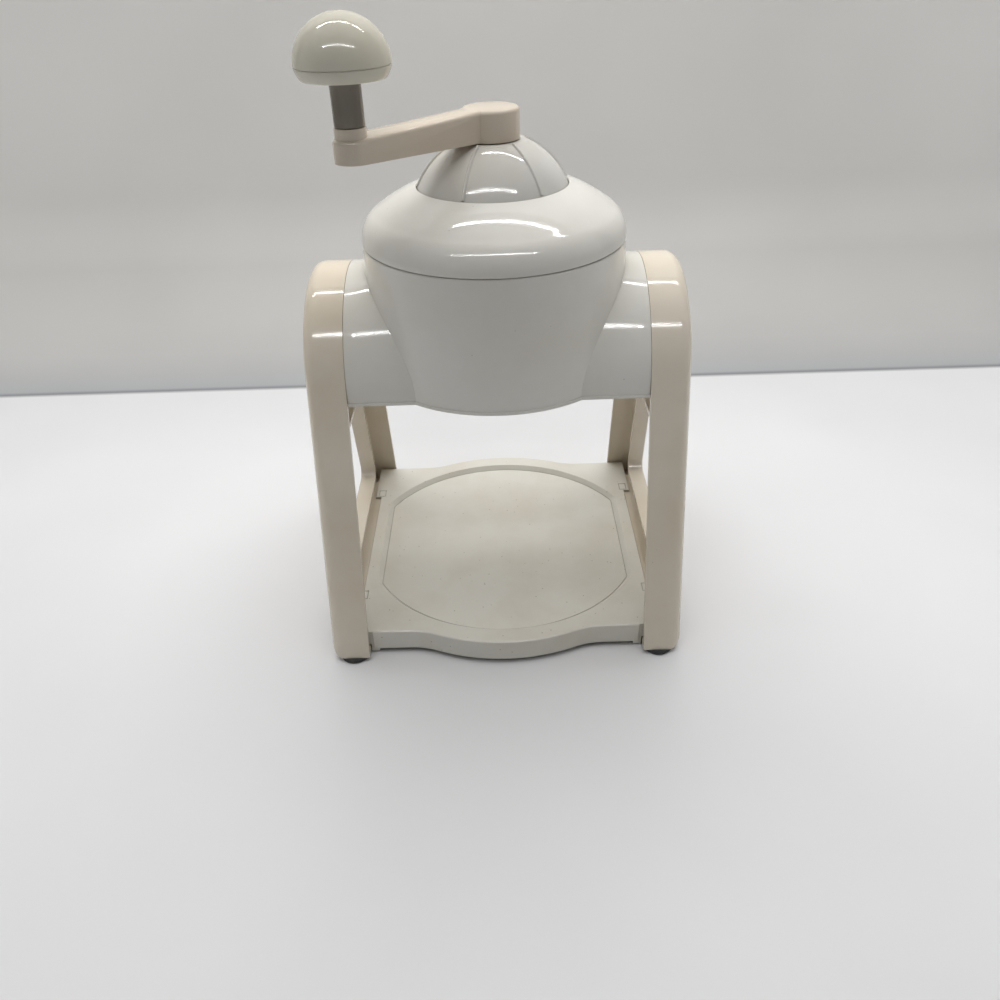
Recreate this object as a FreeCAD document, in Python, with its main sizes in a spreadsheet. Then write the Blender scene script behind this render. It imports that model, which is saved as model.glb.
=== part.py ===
import FreeCAD, Part
import math
import os
import re

import Sketcher

# Hand cranked ice shaver, in millimetres.  +X is to the right, +Y to the back,
# +Z up.  The origin lies on the table, below the axis of the crank.
# Two arched side frames stand on rubber feet.  They carry the tray below and the
# white housing above.  Ice goes into the hopper in the housing, the lid with the
# crank closes it, and each turn of the crank screws the spiked presser down by
# one lead, which turns the ice over the blade in the hopper's floor.

SIZES = {
    # side frames
    "frame_plane": 77.5, "frame_thick": 21.3, "arch_radius": 55.35, "arch_height": 142.0,
    "leg_lean": 14.9, "foot_level": 2.5, "frame_wall": 2.4, "frame_round": 7.0,
    "leg_width": 22.0, "window_top": 100.0, "window_sill": 25.0, "window_round": 6.0,
    "rim_wall": 2.2, "rim_depth": 10.1, "ledge_half": 49.5, "ledge_inner": 84.7,
    "ledge_width": 3.6, "ledge_level": 14.2, "ledge_thick": 2.2, "medallion_radius": 29.0,
    "medallion_groove": 1.6, "medallion_depth": 0.8,
    # fasteners and bosses
    "screw_circle": 42.0, "boss_radius": 4.2, "joint_gap": 0.2, "screw_radius": 1.5, "head_radius": 3.0,
    "head_height": 2.0, "sink_radius": 3.4, "sink_depth": 6.0, "screw_length": 24.0,
    "tray_screw_y": 70.0, "tray_screw_z": 10.6, "tray_screw_length": 14.0,
    # feet
    "foot_radius": 7.0, "foot_x": 86.3, "foot_y": 87.2, "plug_radius": 3.0,
    # tray
    "tray_top": 15.5, "tray_base": 1.6, "tray_half_width": 75.5, "tray_edge": 87.3,
    "tray_bulge": 98.6, "wing_reach": 88.1, "wing_notch": 84.3, "wing_edge": 86.8,
    "wing_overlap": 4.0, "wing_base": 6.2, "notch_half": 50.0, "tray_wall": 2.6, "tray_floor": 5.0,
    "flange_reach": 77.1, "flange_base": 0.6, "recess_radius": 87.9, "recess_half": 77.3,
    "recess_depth": 2.6, "tab_start": 51.4, "tab_length": 7.4, "tab_inner": 82.2, "tab_groove": 0.5,
    "bulge_fillet": 18.0, "rib_height": 8.0, "rib_wall": 2.0,
    # housing
    "bowl_low": 69.7, "bowl_rim": 68.3, "bowl_top": 211.0, "housing_wall": 2.6,
    "lip_height": 1.6, "lip_depth": 0.5, "post_radius": 3.8, "post_length": 12.0,
    "shelf_level": 151.0, "shelf_thick": 2.4, "shelf_inner": 57.3,
    # hopper, blade plate and blade
    "hopper_inner": 54.5, "hopper_wall": 2.4, "hopper_top": 197.0, "hopper_flange": 65.0,
    "plate_radius": 61.5, "plate_thick": 3.0, "slot_start": 7.0, "slot_length": 45.0,
    "blade_length": 43.0, "blade_width": 13.0, "blade_thick": 1.0, "blade_tilt": 16.0,
    "blade_rise": 0.8, "slot_front": 2.5, "slot_back": 12.0, "seat_front": 3.0, "seat_depth": 3.4,
    "seat_overlap": 2.0,
    "blade_screw_span": 14.0, "blade_screw_back": 8.5, "blade_screw_length": 3.6,
    "plate_screw_circle": 60.0,
    "plate_screw_radius": 1.0, "plate_head_radius": 1.5, "plate_head_height": 1.0,
    "blade_grind": 2.5, "blade_head_height": 1.0,
    # lid
    "seam_gap": 0.3, "lid_shoulder": 60.7, "lid_shoulder_z": 226.0, "lid_edge_round": 15.0,
    "lid_edge_z": 213.0, "lid_hole": 38.4, "lid_hole_z": 237.4, "lid_crown": 90.0,
    "lid_wall": 2.4, "skirt_outer": 63.3, "skirt_inner": 61.3, "skirt_base": 199.5,
    "lug_outer": 65.2, "lug_level": 201.0, "lug_thick": 2.0, "lug_angle": 18.0,
    "keeper_inner": 63.8, "keeper_level": 203.4, "keeper_thick": 2.0,
    "lid_plate_radius": 61.1, "lid_plate_level": 201.6, "lid_plate_thick": 2.4,
    "lid_boss_circle": 48.0, "lid_boss_radius": 3.5, "lid_boss_top": 229.6, "lid_screw_length": 12.0,
    # dome
    "dome_radius": 41.7, "dome_centre": 219.7, "dome_base": 236.4, "dome_top": 257.8,
    "dome_wall": 2.3, "dome_flange": 43.0, "dome_seat": 233.0, "dome_seat_radius": 44.0,
    "dome_flange_thick": 2.0, "rib_width": 0.9, "rib_proud": 0.5,
    # feed
    "nut_radius": 11.0, "nut_level": 199.6, "nut_length": 12.4, "nut_flange": 15.0,
    "feed_radius": 6.0, "feed_top": 247.0, "fit_gap": 0.05,
    "hex_flats": 5.0, "hex_gap": 0.1, "tang_flats": 6.0, "spindle_base": 203.0, "journal_radius": 4.0,
    "journal_base": 248.2, "journal_top": 259.6, "bush_base": 249.4, "bush_radius": 6.0,
    "bush_flange": 9.0, "bush_flange_thick": 2.2, "clip_radius": 5.6, "clip_thick": 0.8, "clip_gap": 0.2,
    # presser
    "presser_radius": 50.0, "presser_level": 193.0, "presser_thick": 3.0,
    "presser_hub": 10.0, "hub_top": 197.4, "spike_length": 7.0, "spike_radius": 2.2,
    "spike_tip": 0.5, "spike_ring_inner": 22.0, "spike_ring_outer": 42.0,
    "tie_radius": 2.0, "tie_head": 4.0, "tie_head_thick": 1.6,
    # crank
    "crank_turn": 40.5, "crank_reach": 79.4, "head_crank_radius": 14.3, "crank_base": 258.4,
    "crank_top": 272.7, "arm_half_head": 7.0, "arm_end_radius": 8.4, "arm_end_base": 260.4,
    "arm_end_top": 270.1, "arm_round": 1.4, "arm_wall": 2.4, "arm_roof": 3.2,
    "hub_radius": 6.0, "knob_boss_radius": 7.1, "knob_boss_top": 274.8,
    # knob
    "stem_radius": 6.75, "stem_base": 275.0, "stem_top": 297.2, "pin_radius": 3.0,
    "pin_base": 261.4, "pin_top": 297.5, "pin_head": 4.6, "pin_head_thick": 1.8,
    "knob_low_radius": 18.4, "knob_low": 293.6, "knob_radius": 20.6, "knob_seam": 298.8,
    "knob_side_round": 19.5, "knob_side_angle": 55.0, "knob_wall": 2.4, "knob_floor": 2.4,
    "knob_low_round": 12.0, "washer_radius": 5.2, "washer_thick": 0.8,
}

doc = FreeCAD.newDocument("ice_shaver")
sheet = doc.addObject("Spreadsheet::Sheet", "Sizes")
for row, (alias, number) in enumerate(SIZES.items(), start=1):
    sheet.set(f"A{row}", alias)
    sheet.set(f"B{row}", str(number))
    sheet.setAlias(f"B{row}", alias)
doc.recompute()

WORD = re.compile(r"[a-z][a-z_]*")
FULL_TURN = 360.0


# ---------------------------------------------------------------- small tools

def bind(text):
    """Turn an expression in plain size names into one that reads the sheet."""
    return WORD.sub(lambda word: f"Sizes.{word.group()}" if word.group() in SIZES else word.group(),
                    str(text))


def value(text):
    """The number that an expression in size names stands for."""
    result = sheet.evalExpression(bind(text))
    return float(getattr(result, "Value", result))


def primitive(kind, name, at=("0", "0", "0"), turn=None, **sizes):
    """A Part primitive whose sizes and place are bound to the sheet."""
    part = doc.addObject(f"Part::{kind}", name)
    for prop, text in sizes.items():
        part.setExpression(prop, bind(text))
    if turn:
        part.Placement.Rotation = FreeCAD.Rotation(FreeCAD.Vector(*turn[0]), turn[1])
    for axis, text in zip("xyz", at):
        part.setExpression(f"Placement.Base.{axis}", bind(text))
    return part


def fuse(name, parts):
    """One solid from several that touch or overlap."""
    joined = doc.addObject("Part::MultiFuse", name)
    joined.Shapes = parts
    joined.Refine = True
    return joined


def cut(name, base, tools):
    """The base less every tool."""
    tool = tools[0] if len(tools) == 1 else group(f"{name}_tools", tools)
    pierced = doc.addObject("Part::Cut", name)
    pierced.Base = base
    pierced.Tool = tool
    return pierced


def common(name, first, second):
    """What two solids share."""
    shared = doc.addObject("Part::MultiCommon", name)
    shared.Shapes = [first, second]
    return shared


def group(name, parts):
    """Separate solids kept as one object."""
    together = doc.addObject("Part::Compound", name)
    together.Links = parts
    return together


def body_of(name):
    return doc.addObject("PartDesign::Body", name)


def sketch_on(body, role, name, offset="0"):
    """A sketch on one of the body's own origin planes, lifted along its normal."""
    plane = next(item for item in body.Origin.OriginFeatures if item.Role == role)
    sketch = body.newObject("Sketcher::SketchObject", name)
    sketch.AttachmentSupport = [(plane, "")]
    sketch.MapMode = "FlatFace"
    sketch.setExpression("AttachmentOffset.Base.z", bind(offset))
    return sketch


def arc_between(start, end, radius, side):
    """The short arc from start to end that bulges to the left (1) or right (-1).

    A sketch takes every arc as running anticlockwise, so one that bulges to the left
    is drawn from its far end.
    """
    chord = end - start
    middle = (start + end) * 0.5
    left = FreeCAD.Vector(-chord.y, chord.x, 0).normalize()
    drop = math.sqrt(max(radius ** 2 - (chord.Length / 2) ** 2, 0.0))
    centre = middle - left * (side * drop)
    top = centre + left * (side * radius)
    return Part.Arc(end, top, start) if side > 0 else Part.Arc(start, top, end)


def draw_loop(sketch, corners):
    """A closed outline.  A corner is (x, y), or (x, y, radius, side) for an arc to it."""
    spots = [FreeCAD.Vector(value(corner[0]), value(corner[1]), 0) for corner in corners]
    for index, corner in enumerate(corners):
        start, end = spots[index - 1], spots[index]
        if len(corner) == 4:
            sketch.addGeometry(arc_between(start, end, value(corner[2]), corner[3]), False)
        else:
            sketch.addGeometry(Part.LineSegment(start, end), False)
    ends = [end_of(sketch, index, spots[index]) for index in range(len(corners))]
    starts = [end_of(sketch, index, spots[index - 1]) for index in range(len(corners))]
    for index, corner in enumerate(corners):
        after = (index + 1) % len(corners)
        sketch.addConstraint(Sketcher.Constraint("Coincident", index, ends[index], after, starts[after]))
        for kind, text, number in (("DistanceX", corner[0], spots[index].x),
                                   ("DistanceY", corner[1], spots[index].y)):
            place = sketch.addConstraint(Sketcher.Constraint(kind, -1, 1, index, ends[index], number))
            sketch.setExpression(f"Constraints[{place}]", bind(text))
        if len(corner) == 4:
            place = sketch.addConstraint(Sketcher.Constraint("Radius", index, value(corner[2])))
            sketch.setExpression(f"Constraints[{place}]", bind(corner[2]))


def end_of(sketch, index, spot):
    """Which end of a piece of the outline lies at the spot: 1 its first, 2 its last."""
    piece = sketch.Geometry[index]
    return 1 if piece.StartPoint.distanceToPoint(spot) < piece.EndPoint.distanceToPoint(spot) else 2


def prism(name, role, offset, corners, length):
    """A body padded from one outline, along the plane's normal."""
    body = body_of(name)
    sketch = sketch_on(body, role, f"{name}_outline", offset)
    draw_loop(sketch, corners)
    pad = body.newObject("PartDesign::Pad", f"{name}_pad")
    pad.Profile = sketch
    pad.setExpression("Length", bind(length))
    body.Tip = pad
    return body


def turned(name, corners, at=("0", "0", "0")):
    """A body of revolution about its own Z axis, from (radius, height) corners."""
    body = body_of(name)
    sketch = sketch_on(body, "XZ_Plane", f"{name}_profile")
    draw_loop(sketch, corners)
    spin = body.newObject("PartDesign::Revolution", f"{name}_turn")
    spin.Profile = sketch
    spin.ReferenceAxis = (sketch, ["V_Axis"])
    spin.Angle = FULL_TURN
    body.Tip = spin
    for axis, text in zip("xyz", at):
        body.setExpression(f"Placement.Base.{axis}", bind(text))
    return body


def round_edges(body, radius, chosen):
    """Fillet the edges of a body's tip that the test picks."""
    doc.recompute()
    tip = body.Tip
    names = [f"Edge{number}" for number, edge in enumerate(tip.Shape.Edges, start=1) if chosen(edge)]
    rounding = body.newObject("PartDesign::Fillet", f"{body.Name}_round")
    rounding.Base = (tip, names)
    rounding.setExpression("Radius", bind(radius))
    body.Tip = rounding
    return rounding


def lies_on(axis, level):
    """A test for edges that lie wholly on one plane across an axis."""
    def test(edge):
        low = getattr(edge.BoundBox, f"{axis}Min")
        high = getattr(edge.BoundBox, f"{axis}Max")
        return abs(low - level) < 1e-4 and abs(high - level) < 1e-4
    return test


def runs_along(axis):
    """A test for straight edges that run along an axis."""
    others = [letter for letter in "XYZ" if letter != axis]
    return lambda edge: all(getattr(edge.BoundBox, f"{letter}Length") < 1e-4 for letter in others)


def mirrored(name, source):
    """The source on the other side of the middle plane."""
    twin = doc.addObject("Part::Mirroring", name)
    twin.Source = source
    twin.Normal = FreeCAD.Vector(1, 0, 0)
    return twin


def upright(name, x, y, z, radius, height):
    """A cylinder that stands up from z."""
    return primitive("Cylinder", name, (x, y, z), Radius=radius, Height=height)


def block(name, low, size):
    """A box from its lowest corner and its three sizes."""
    return primitive("Box", name, low, Length=size[0], Width=size[1], Height=size[2])


def on_circle(circle, turn):
    """X and Y of a place on a circle about the middle axis."""
    return f"{circle} * cos({turn})", f"{circle} * sin({turn})"


def sideways(name, x, y, z, radius, length):
    """A cylinder that runs along +X from x."""
    return primitive("Cylinder", name, (x, y, z), ((0, 1, 0), 90), Radius=radius, Height=length)


def node(obj, label):
    """Give an object the name under which it is kept."""
    obj.Label = label
    nodes.append(obj)
    return obj


nodes = []


# ---------------------------------------------------------------- side frames

def arch_foot(inset, level):
    """How far out the leg's edge stands at a level, for an outline set in by some mm."""
    return (f"(arch_radius - ({inset}) + (arch_height - ({level})) * sin(leg_lean))"
            f" / cos(leg_lean)")


def arch_corners(inset, level):
    """The A-shaped outline of a frame: a round arch and two straight leaning legs."""
    radius = f"arch_radius - ({inset})"
    spring_y = f"({radius}) * cos(leg_lean)"
    spring_z = f"arch_height + ({radius}) * sin(leg_lean)"
    foot = arch_foot(inset, level)
    return [(f"-({foot})", level), (foot, level), (spring_y, spring_z),
            ("0", f"arch_height + {radius}", radius, -1),
            (f"-({spring_y})", spring_z, radius, -1)]


def window_prism(name, grow, start, length):
    """The four-sided window, whose sides follow the legs."""
    top, sill = f"window_top + {grow}", f"window_sill - {grow}"
    high = arch_foot(f"leg_width - {grow}", top)
    low = arch_foot(f"leg_width - {grow}", sill)
    block = prism(name, "YZ_Plane", start,
                  [(f"-({low})", sill), (low, sill), (high, top), (f"-({high})", top)], length)
    round_edges(block, f"window_round + {grow}", runs_along("X"))
    return block


def frame_screw_spots():
    """Where the three screws of a frame go into the housing: name, y and z."""
    return [(f"housing_{angle}", f"screw_circle * cos({angle})", f"arch_height + screw_circle * sin({angle})")
            for angle in (168, 108, 48)]


def tray_screw_spots():
    """Where the two screws of a frame go into the tray: name, y and z."""
    return [("front", "-tray_screw_y", "tray_screw_z"), ("back", "tray_screw_y", "tray_screw_z")]


def make_frames():
    """An open moulded shell: outer wall, flange all round, window rim, bosses, ledge."""
    outer_plane = "frame_plane + frame_thick"
    shell = prism("frame_shell", "YZ_Plane", "frame_plane", arch_corners("0", "foot_level"), "frame_thick")
    round_edges(shell, "frame_round", lies_on("X", value(outer_plane)))
    hollow = prism("frame_hollow", "YZ_Plane", "frame_plane - 1",
                   arch_corners("frame_wall", "foot_level + frame_wall"), "frame_thick - frame_wall + 1")
    round_edges(hollow, "frame_round - frame_wall", lies_on("X", value(f"{outer_plane} - frame_wall")))
    open_shell = cut("frame_open", shell, [hollow])
    rim = window_prism("window_rim", "rim_wall", f"{outer_plane} - rim_depth", "rim_depth - frame_wall / 2")
    ledge_base = "foot_level + frame_wall / 2"
    boss_end = f"{outer_plane} - frame_wall / 2"
    ledge = block("frame_ledge", ("ledge_inner", "-ledge_half", ledge_base),
                  ("ledge_width", "2 * ledge_half", f"ledge_level - ({ledge_base})"))
    shelf = block("ledge_shelf", ("ledge_inner", "-ledge_half", "ledge_level - ledge_thick"),
                  (f"{boss_end} - ledge_inner", "2 * ledge_half", "ledge_thick"))
    bosses, holes = [], []
    for name, y, z in frame_screw_spots() + tray_screw_spots():
        at_tray = name in ("front", "back")
        start = "wing_reach + joint_gap" if at_tray else "frame_plane + joint_gap"
        bosses.append(sideways(f"boss_{name}", start, y, z, "boss_radius", f"{boss_end} - ({start})"))
        holes += [sideways(f"sink_{name}", f"{outer_plane} - sink_depth", y, z, "sink_radius",
                           "sink_depth + 1"),
                  sideways(f"hole_{name}", "frame_plane - 1", y, z, "screw_radius + joint_gap",
                           "frame_thick + 1")]
    solid = fuse("frame_solid", [open_shell, rim, ledge, shelf] + bosses)
    holes.append(window_prism("window_opening", "0", "frame_plane - 1", "frame_thick + 2"))
    ring = cut("medallion_ring",
               sideways("ring_outer", f"{outer_plane} - medallion_depth", "0", "arch_height",
                        "medallion_radius", "medallion_depth + 1"),
               [sideways("ring_inner", f"{outer_plane} - 2", "0", "arch_height",
                         "medallion_radius - medallion_groove", "medallion_depth + 3")])
    holes.append(ring)
    for name, sign in (("front", "-"), ("back", "")):
        holes.append(upright(f"foot_hole_{name}", "foot_x", f"{sign}foot_y", "foot_level - 1", "plug_radius",
                             "frame_wall + 2"))
    right = node(cut("side_frame_right", solid, holes), "side_frame_right")
    node(mirrored("side_frame_left", right), "side_frame_left")


def make_feet():
    """Four rubber pads, each held by a plug in the foot of a frame."""
    pads = []
    for name, x, y in (("fr", "foot_x", "-foot_y"), ("br", "foot_x", "foot_y"),
                       ("fl", "-foot_x", "-foot_y"), ("bl", "-foot_x", "foot_y")):
        pad = upright(f"pad_{name}", x, y, "0", "foot_radius", "foot_level")
        plug = upright(f"plug_{name}", x, y, "foot_level / 2", "plug_radius", "foot_level / 2 + frame_wall")
        pads.append(fuse(f"foot_{name}", [pad, plug]))
    node(group("rubber_feet", pads), "rubber_feet")


def side_screw(name, y, z, length):
    """A pan head screw that points inwards from the right."""
    seat = "frame_plane + frame_thick - sink_depth"
    head = sideways(f"{name}_head", seat, y, z, "head_radius", "head_height")
    shank = sideways(f"{name}_shank", f"{seat} - ({length})", y, z, "screw_radius",
                     f"{length} + head_height / 2")
    return fuse(name, [head, shank])


def make_side_screws():
    """The screws that hold each frame to the housing and to the tray."""
    for label, spots, length in (("frame_screws", frame_screw_spots(), "screw_length"),
                                 ("tray_screws", tray_screw_spots(), "tray_screw_length")):
        right = group(f"{label}_right", [side_screw(f"{label}_{name}", y, z, length) for name, y, z in spots])
        node(group(label, [right, mirrored(f"{label}_left", right)]), label)


# ---------------------------------------------------------------- tray

def bulged_corners(side_x, edge_y, bulge_radius):
    """A rectangle whose front and back edges swell outwards in the middle."""
    front_x = f"sqrt(({bulge_radius}) ^ 2 - ({edge_y}) ^ 2)"
    return [(f"-({side_x})", f"-({edge_y})"), (f"-({front_x})", f"-({edge_y})"),
            (front_x, f"-({edge_y})", bulge_radius, -1), (side_x, f"-({edge_y})"),
            (side_x, edge_y), (front_x, edge_y),
            (f"-({front_x})", edge_y, bulge_radius, -1), (f"-({side_x})", edge_y)]


def sunk_field():
    """A disc cut off at both sides, whose wall slopes at 45 degrees."""
    depth = "recess_depth"
    dish = cone("field_dish", f"recess_radius - {depth}", "recess_radius + 1", f"tray_top - {depth}",
                "tray_top + 1")
    low = [("-(recess_half - recess_depth)", f"tray_top - {depth}"),
           ("recess_half - recess_depth", f"tray_top - {depth}"),
           ("recess_half + 1", "tray_top + 1"), ("-(recess_half + 1)", "tray_top + 1")]
    return common("tray_field", dish, prism("field_band", "XZ_Plane", "-tray_bulge", low, "2 * tray_bulge"))


def tab_grooves():
    """The thin lines round the four square snap tabs at the ends of the ledges."""
    grooves = []
    for side in ("", "-"):
        for end in ("", "-"):
            name = f"{'left' if side else 'right'}_{'front' if end else 'back'}"
            low_x = "-(wing_reach + 1)" if side else "tab_inner"
            low_y = "-(tab_start + tab_length)" if end else "tab_start"
            width = "wing_reach + 1 - tab_inner"
            around = block(f"tab_around_{name}", (low_x, low_y, "tray_top - tab_groove"),
                           (width, "tab_length", "1"))
            inside_x = low_x if side else "tab_inner + tab_groove"
            tab = block(f"tab_{name}", (inside_x, f"{low_y} + tab_groove", "tray_top - 1"),
                        (f"{width} - tab_groove", "tab_length - 2 * tab_groove", "2"))
            grooves.append(cut(f"tab_groove_{name}", around, [tab]))
    return grooves


def make_tray():
    """A shallow moulding with skirts, a sunk round field and wings into the frames."""
    outline = bulged_corners("tray_half_width", "tray_edge", "tray_bulge")
    slab = prism("tray_slab", "XY_Plane", "tray_base", outline, "tray_top - tray_base")
    stands, corner_x = runs_along("Z"), value("tray_half_width") - 2
    round_edges(slab, "bulge_fillet", lambda edge: stands(edge) and abs(edge.BoundBox.XMin) < corner_x)
    wings = []
    for name, sign in (("right", ""), ("left", "-")):
        start = "tray_half_width - wing_overlap" if name == "right" else "-wing_reach"
        notch = "wing_notch" if name == "right" else "-wing_reach - 1"
        wing = block(f"wing_{name}", (start, "-wing_edge", "wing_base"),
                     ("wing_reach - tray_half_width + wing_overlap", "2 * wing_edge", "tray_top - wing_base"))
        gap = block(f"notch_{name}", (notch, "-notch_half", "tray_base"),
                    ("wing_reach - wing_notch + 1", "2 * notch_half", "tray_top"))
        wings.append(cut(f"wing_cut_{name}", wing, [gap]))
    flange = block("tray_flange", ("-flange_reach", "-wing_edge", "flange_base"),
                   ("2 * flange_reach", "2 * wing_edge", "tray_top - flange_base"))
    plate = fuse("tray_plate", [slab, flange] + wings)
    inner = bulged_corners("tray_half_width - tray_wall", "tray_edge - tray_wall",
                           "tray_bulge - tray_wall")
    cavity = prism("tray_cavity", "XY_Plane", "flange_base - 1", inner,
                   "tray_top - tray_floor - flange_base + 1")
    wing_cavities, holes = [], []
    for name, start in (("right", "tray_half_width - 2 * tray_wall"), ("left", "-wing_notch + tray_wall")):
        wing_cavities.append(block(
            f"wing_cavity_{name}", (start, "-notch_half + tray_wall", "flange_base - 1"),
            ("wing_notch + tray_wall - tray_half_width", "2 * (notch_half - tray_wall)",
             "tray_top - tray_floor - flange_base + 1")))
    for name, y, z in tray_screw_spots():
        right = sideways(f"tray_hole_{name}", "wing_reach - tray_screw_length", y, z, "screw_radius",
                         "tray_screw_length + 1")
        holes += [right, mirrored(f"tray_hole_left_{name}", right)]
    hollowed = cut("tray_hollowed", plate, [sunk_field(), cavity] + wing_cavities + holes + tab_grooves())
    ribs = []
    rib_base = "tray_top - tray_floor - rib_height"
    for index, place in enumerate(("-1", "0", "1")):
        ribs += [block(f"rib_long_{index}",
                       ("-tray_half_width + 1", f"{place} * tray_edge / 2 - rib_wall / 2", rib_base),
                       ("2 * tray_half_width - 2", "rib_wall", "rib_height + tray_floor / 2")),
                 block(f"rib_cross_{index}",
                       (f"{place} * tray_half_width / 2 - rib_wall / 2", "-tray_edge + 1", rib_base),
                       ("rib_wall", "2 * tray_edge - 2", "rib_height + tray_floor / 2"))]
    node(fuse("base_tray", [hollowed] + ribs), "base_tray")


# ---------------------------------------------------------------- housing and hopper

def half_round(name, radius, level, half_length):
    """The shoulder: half a cylinder that lies along X, flat side down at the level."""
    arch = [(radius, "arch_height"), ("0", f"arch_height + {radius}", radius, -1),
            (f"-({radius})", "arch_height", radius, -1)]
    straight = [(f"-({radius})", level), (radius, level)] if level != "arch_height" else []
    return prism(name, "YZ_Plane", f"-({half_length})", straight + arch, f"2 * ({half_length})")


def cone(name, low, high, base, top):
    return primitive("Cone", name, ("0", "0", base), Radius1=low, Radius2=high, Height=f"{top} - ({base})")


def ring(name, outer, inner, base, height):
    """A flat ring or tube about the middle axis."""
    return cut(name, upright(f"{name}_outer", "0", "0", base, outer, height),
               [upright(f"{name}_inner", "0", "0", f"{base} - 1", inner, f"{height} + 2")])


def sector(name, outer, inner, base, height, angle, turn):
    """A piece of a flat ring, centred on an angle about the axis."""
    wedge = primitive("Cylinder", f"{name}_wedge", ("0", "0", base), ((0, 0, 1), turn - value(angle) / 2),
                      Radius=outer, Height=height, Angle=angle)
    return cut(name, wedge, [upright(f"{name}_core", "0", "0", f"{base} - 1", inner, f"{height} + 2")])


BAYONET_TURNS = (30, 150, 270)
PLATE_SCREW_TURNS = (45, 135, 225, 315)
LID_BOSS_TURNS = (0, 120, 240)


def housing_plan(name, grow_x, grow, base, height):
    """The housing's outline from above, as a slab: the bowl's circle over the shoulder's rectangle."""
    half_x, half_y = f"(frame_plane + {grow_x})", f"(arch_radius + {grow})"
    return fuse(name, [block(f"{name}_shoulder", (f"-{half_x}", f"-{half_y}", base),
                             (f"2 * {half_x}", f"2 * {half_y}", height)),
                       upright(f"{name}_bowl", "0", "0", base, f"bowl_low + {grow}", height)])


def make_housing():
    """The white housing: a round bowl that crosses a half round shoulder, open below."""
    outside = fuse("housing_outside",
                   [half_round("shoulder", "arch_radius", "arch_height", "frame_plane"),
                    cone("bowl", "bowl_low", "bowl_rim", "arch_height", "bowl_top")])
    inside = fuse("housing_inside",
                  [half_round("shoulder_void", "arch_radius - housing_wall", "arch_height - 1",
                              "frame_plane - housing_wall"),
                   cone("bowl_void", "bowl_low - housing_wall", "bowl_rim - housing_wall",
                        "arch_height - 1", "bowl_top + 1")])
    shell = cut("housing_shell", outside, [inside])
    lip = cut("housing_lip", housing_plan("lip_outline", "0", "lip_depth", "arch_height", "lip_height"),
              [housing_plan("lip_void", "-housing_wall / 2", "-housing_wall / 2", "arch_height - 1",
                            "lip_height + 2")])
    shelf = common("housing_shelf",
                   ring("shelf_ring", "bowl_low", "shelf_inner", "shelf_level", "shelf_thick"),
                   cone("shelf_limit", "bowl_low - 1", "bowl_rim - 1", "arch_height", "bowl_top"))
    posts, holes = [], []
    for name, y, z in frame_screw_spots():
        post = sideways(f"post_{name}", "frame_plane - housing_wall / 2 - post_length", y, z,
                        "post_radius", "post_length")
        hole = sideways(f"pilot_{name}", "frame_plane - post_length", y, z, "screw_radius", "post_length + 1")
        posts += [post, mirrored(f"post_left_{name}", post)]
        holes += [hole, mirrored(f"pilot_left_{name}", hole)]
    keepers = [common(f"keeper_{turn}",
                      sector(f"keeper_sector_{turn}", "bowl_low", "keeper_inner", "keeper_level",
                             "keeper_thick", "lug_angle", turn),
                      cone(f"keeper_limit_{turn}", "bowl_low - 1", "bowl_rim - 1", "arch_height", "bowl_top"))
               for turn in BAYONET_TURNS]
    holes += [upright(f"shelf_hole_{turn}", *on_circle("plate_screw_circle", turn), "shelf_level - 1",
                      "plate_screw_radius", "shelf_thick + 2") for turn in PLATE_SCREW_TURNS]
    solid = fuse("housing_solid", [shell, lip, shelf] + posts + keepers)
    node(cut("body_housing", solid, holes), "body_housing")


def make_hopper():
    """The liner that holds the ice: a plain tube with a rim that centres it in the bowl."""
    outer, flange_base = "hopper_inner + hopper_wall", "hopper_top - hopper_wall"
    wall = [("hopper_inner", "shelf_level"), (outer, "shelf_level"), (outer, flange_base),
            ("hopper_flange", flange_base), ("hopper_flange", "hopper_top"), ("hopper_inner", "hopper_top")]
    node(turned("ice_hopper", wall), "ice_hopper")


def beneath_blade(y):
    """Height of the blade's lower face at a place along Y."""
    return (f"shelf_level + blade_rise - blade_thick / cos(blade_tilt)"
            f" - (({y}) + slot_front / 2) * tan(blade_tilt)")


def on_blade(part):
    """Lay a part that is drawn flat, edge at the origin, on the blade's slope."""
    part.Placement.Rotation = FreeCAD.Rotation(FreeCAD.Vector(1, 0, 0), -SIZES["blade_tilt"])
    for axis, text in zip("xyz", ("slot_start + (slot_length - blade_length) / 2", "-slot_front / 2",
                                  "shelf_level + blade_rise")):
        part.setExpression(f"Placement.Base.{axis}", bind(text))
    return part


def at_blade_screws(name, radius, base, height):
    """Two cylinders that stand across the blade where its screws go."""
    return [upright(f"{name}_{side}", f"blade_length / 2 + ({side}) * blade_screw_span", "blade_screw_back",
                    base, radius, height) for side in ("-1", "1")]


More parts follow.
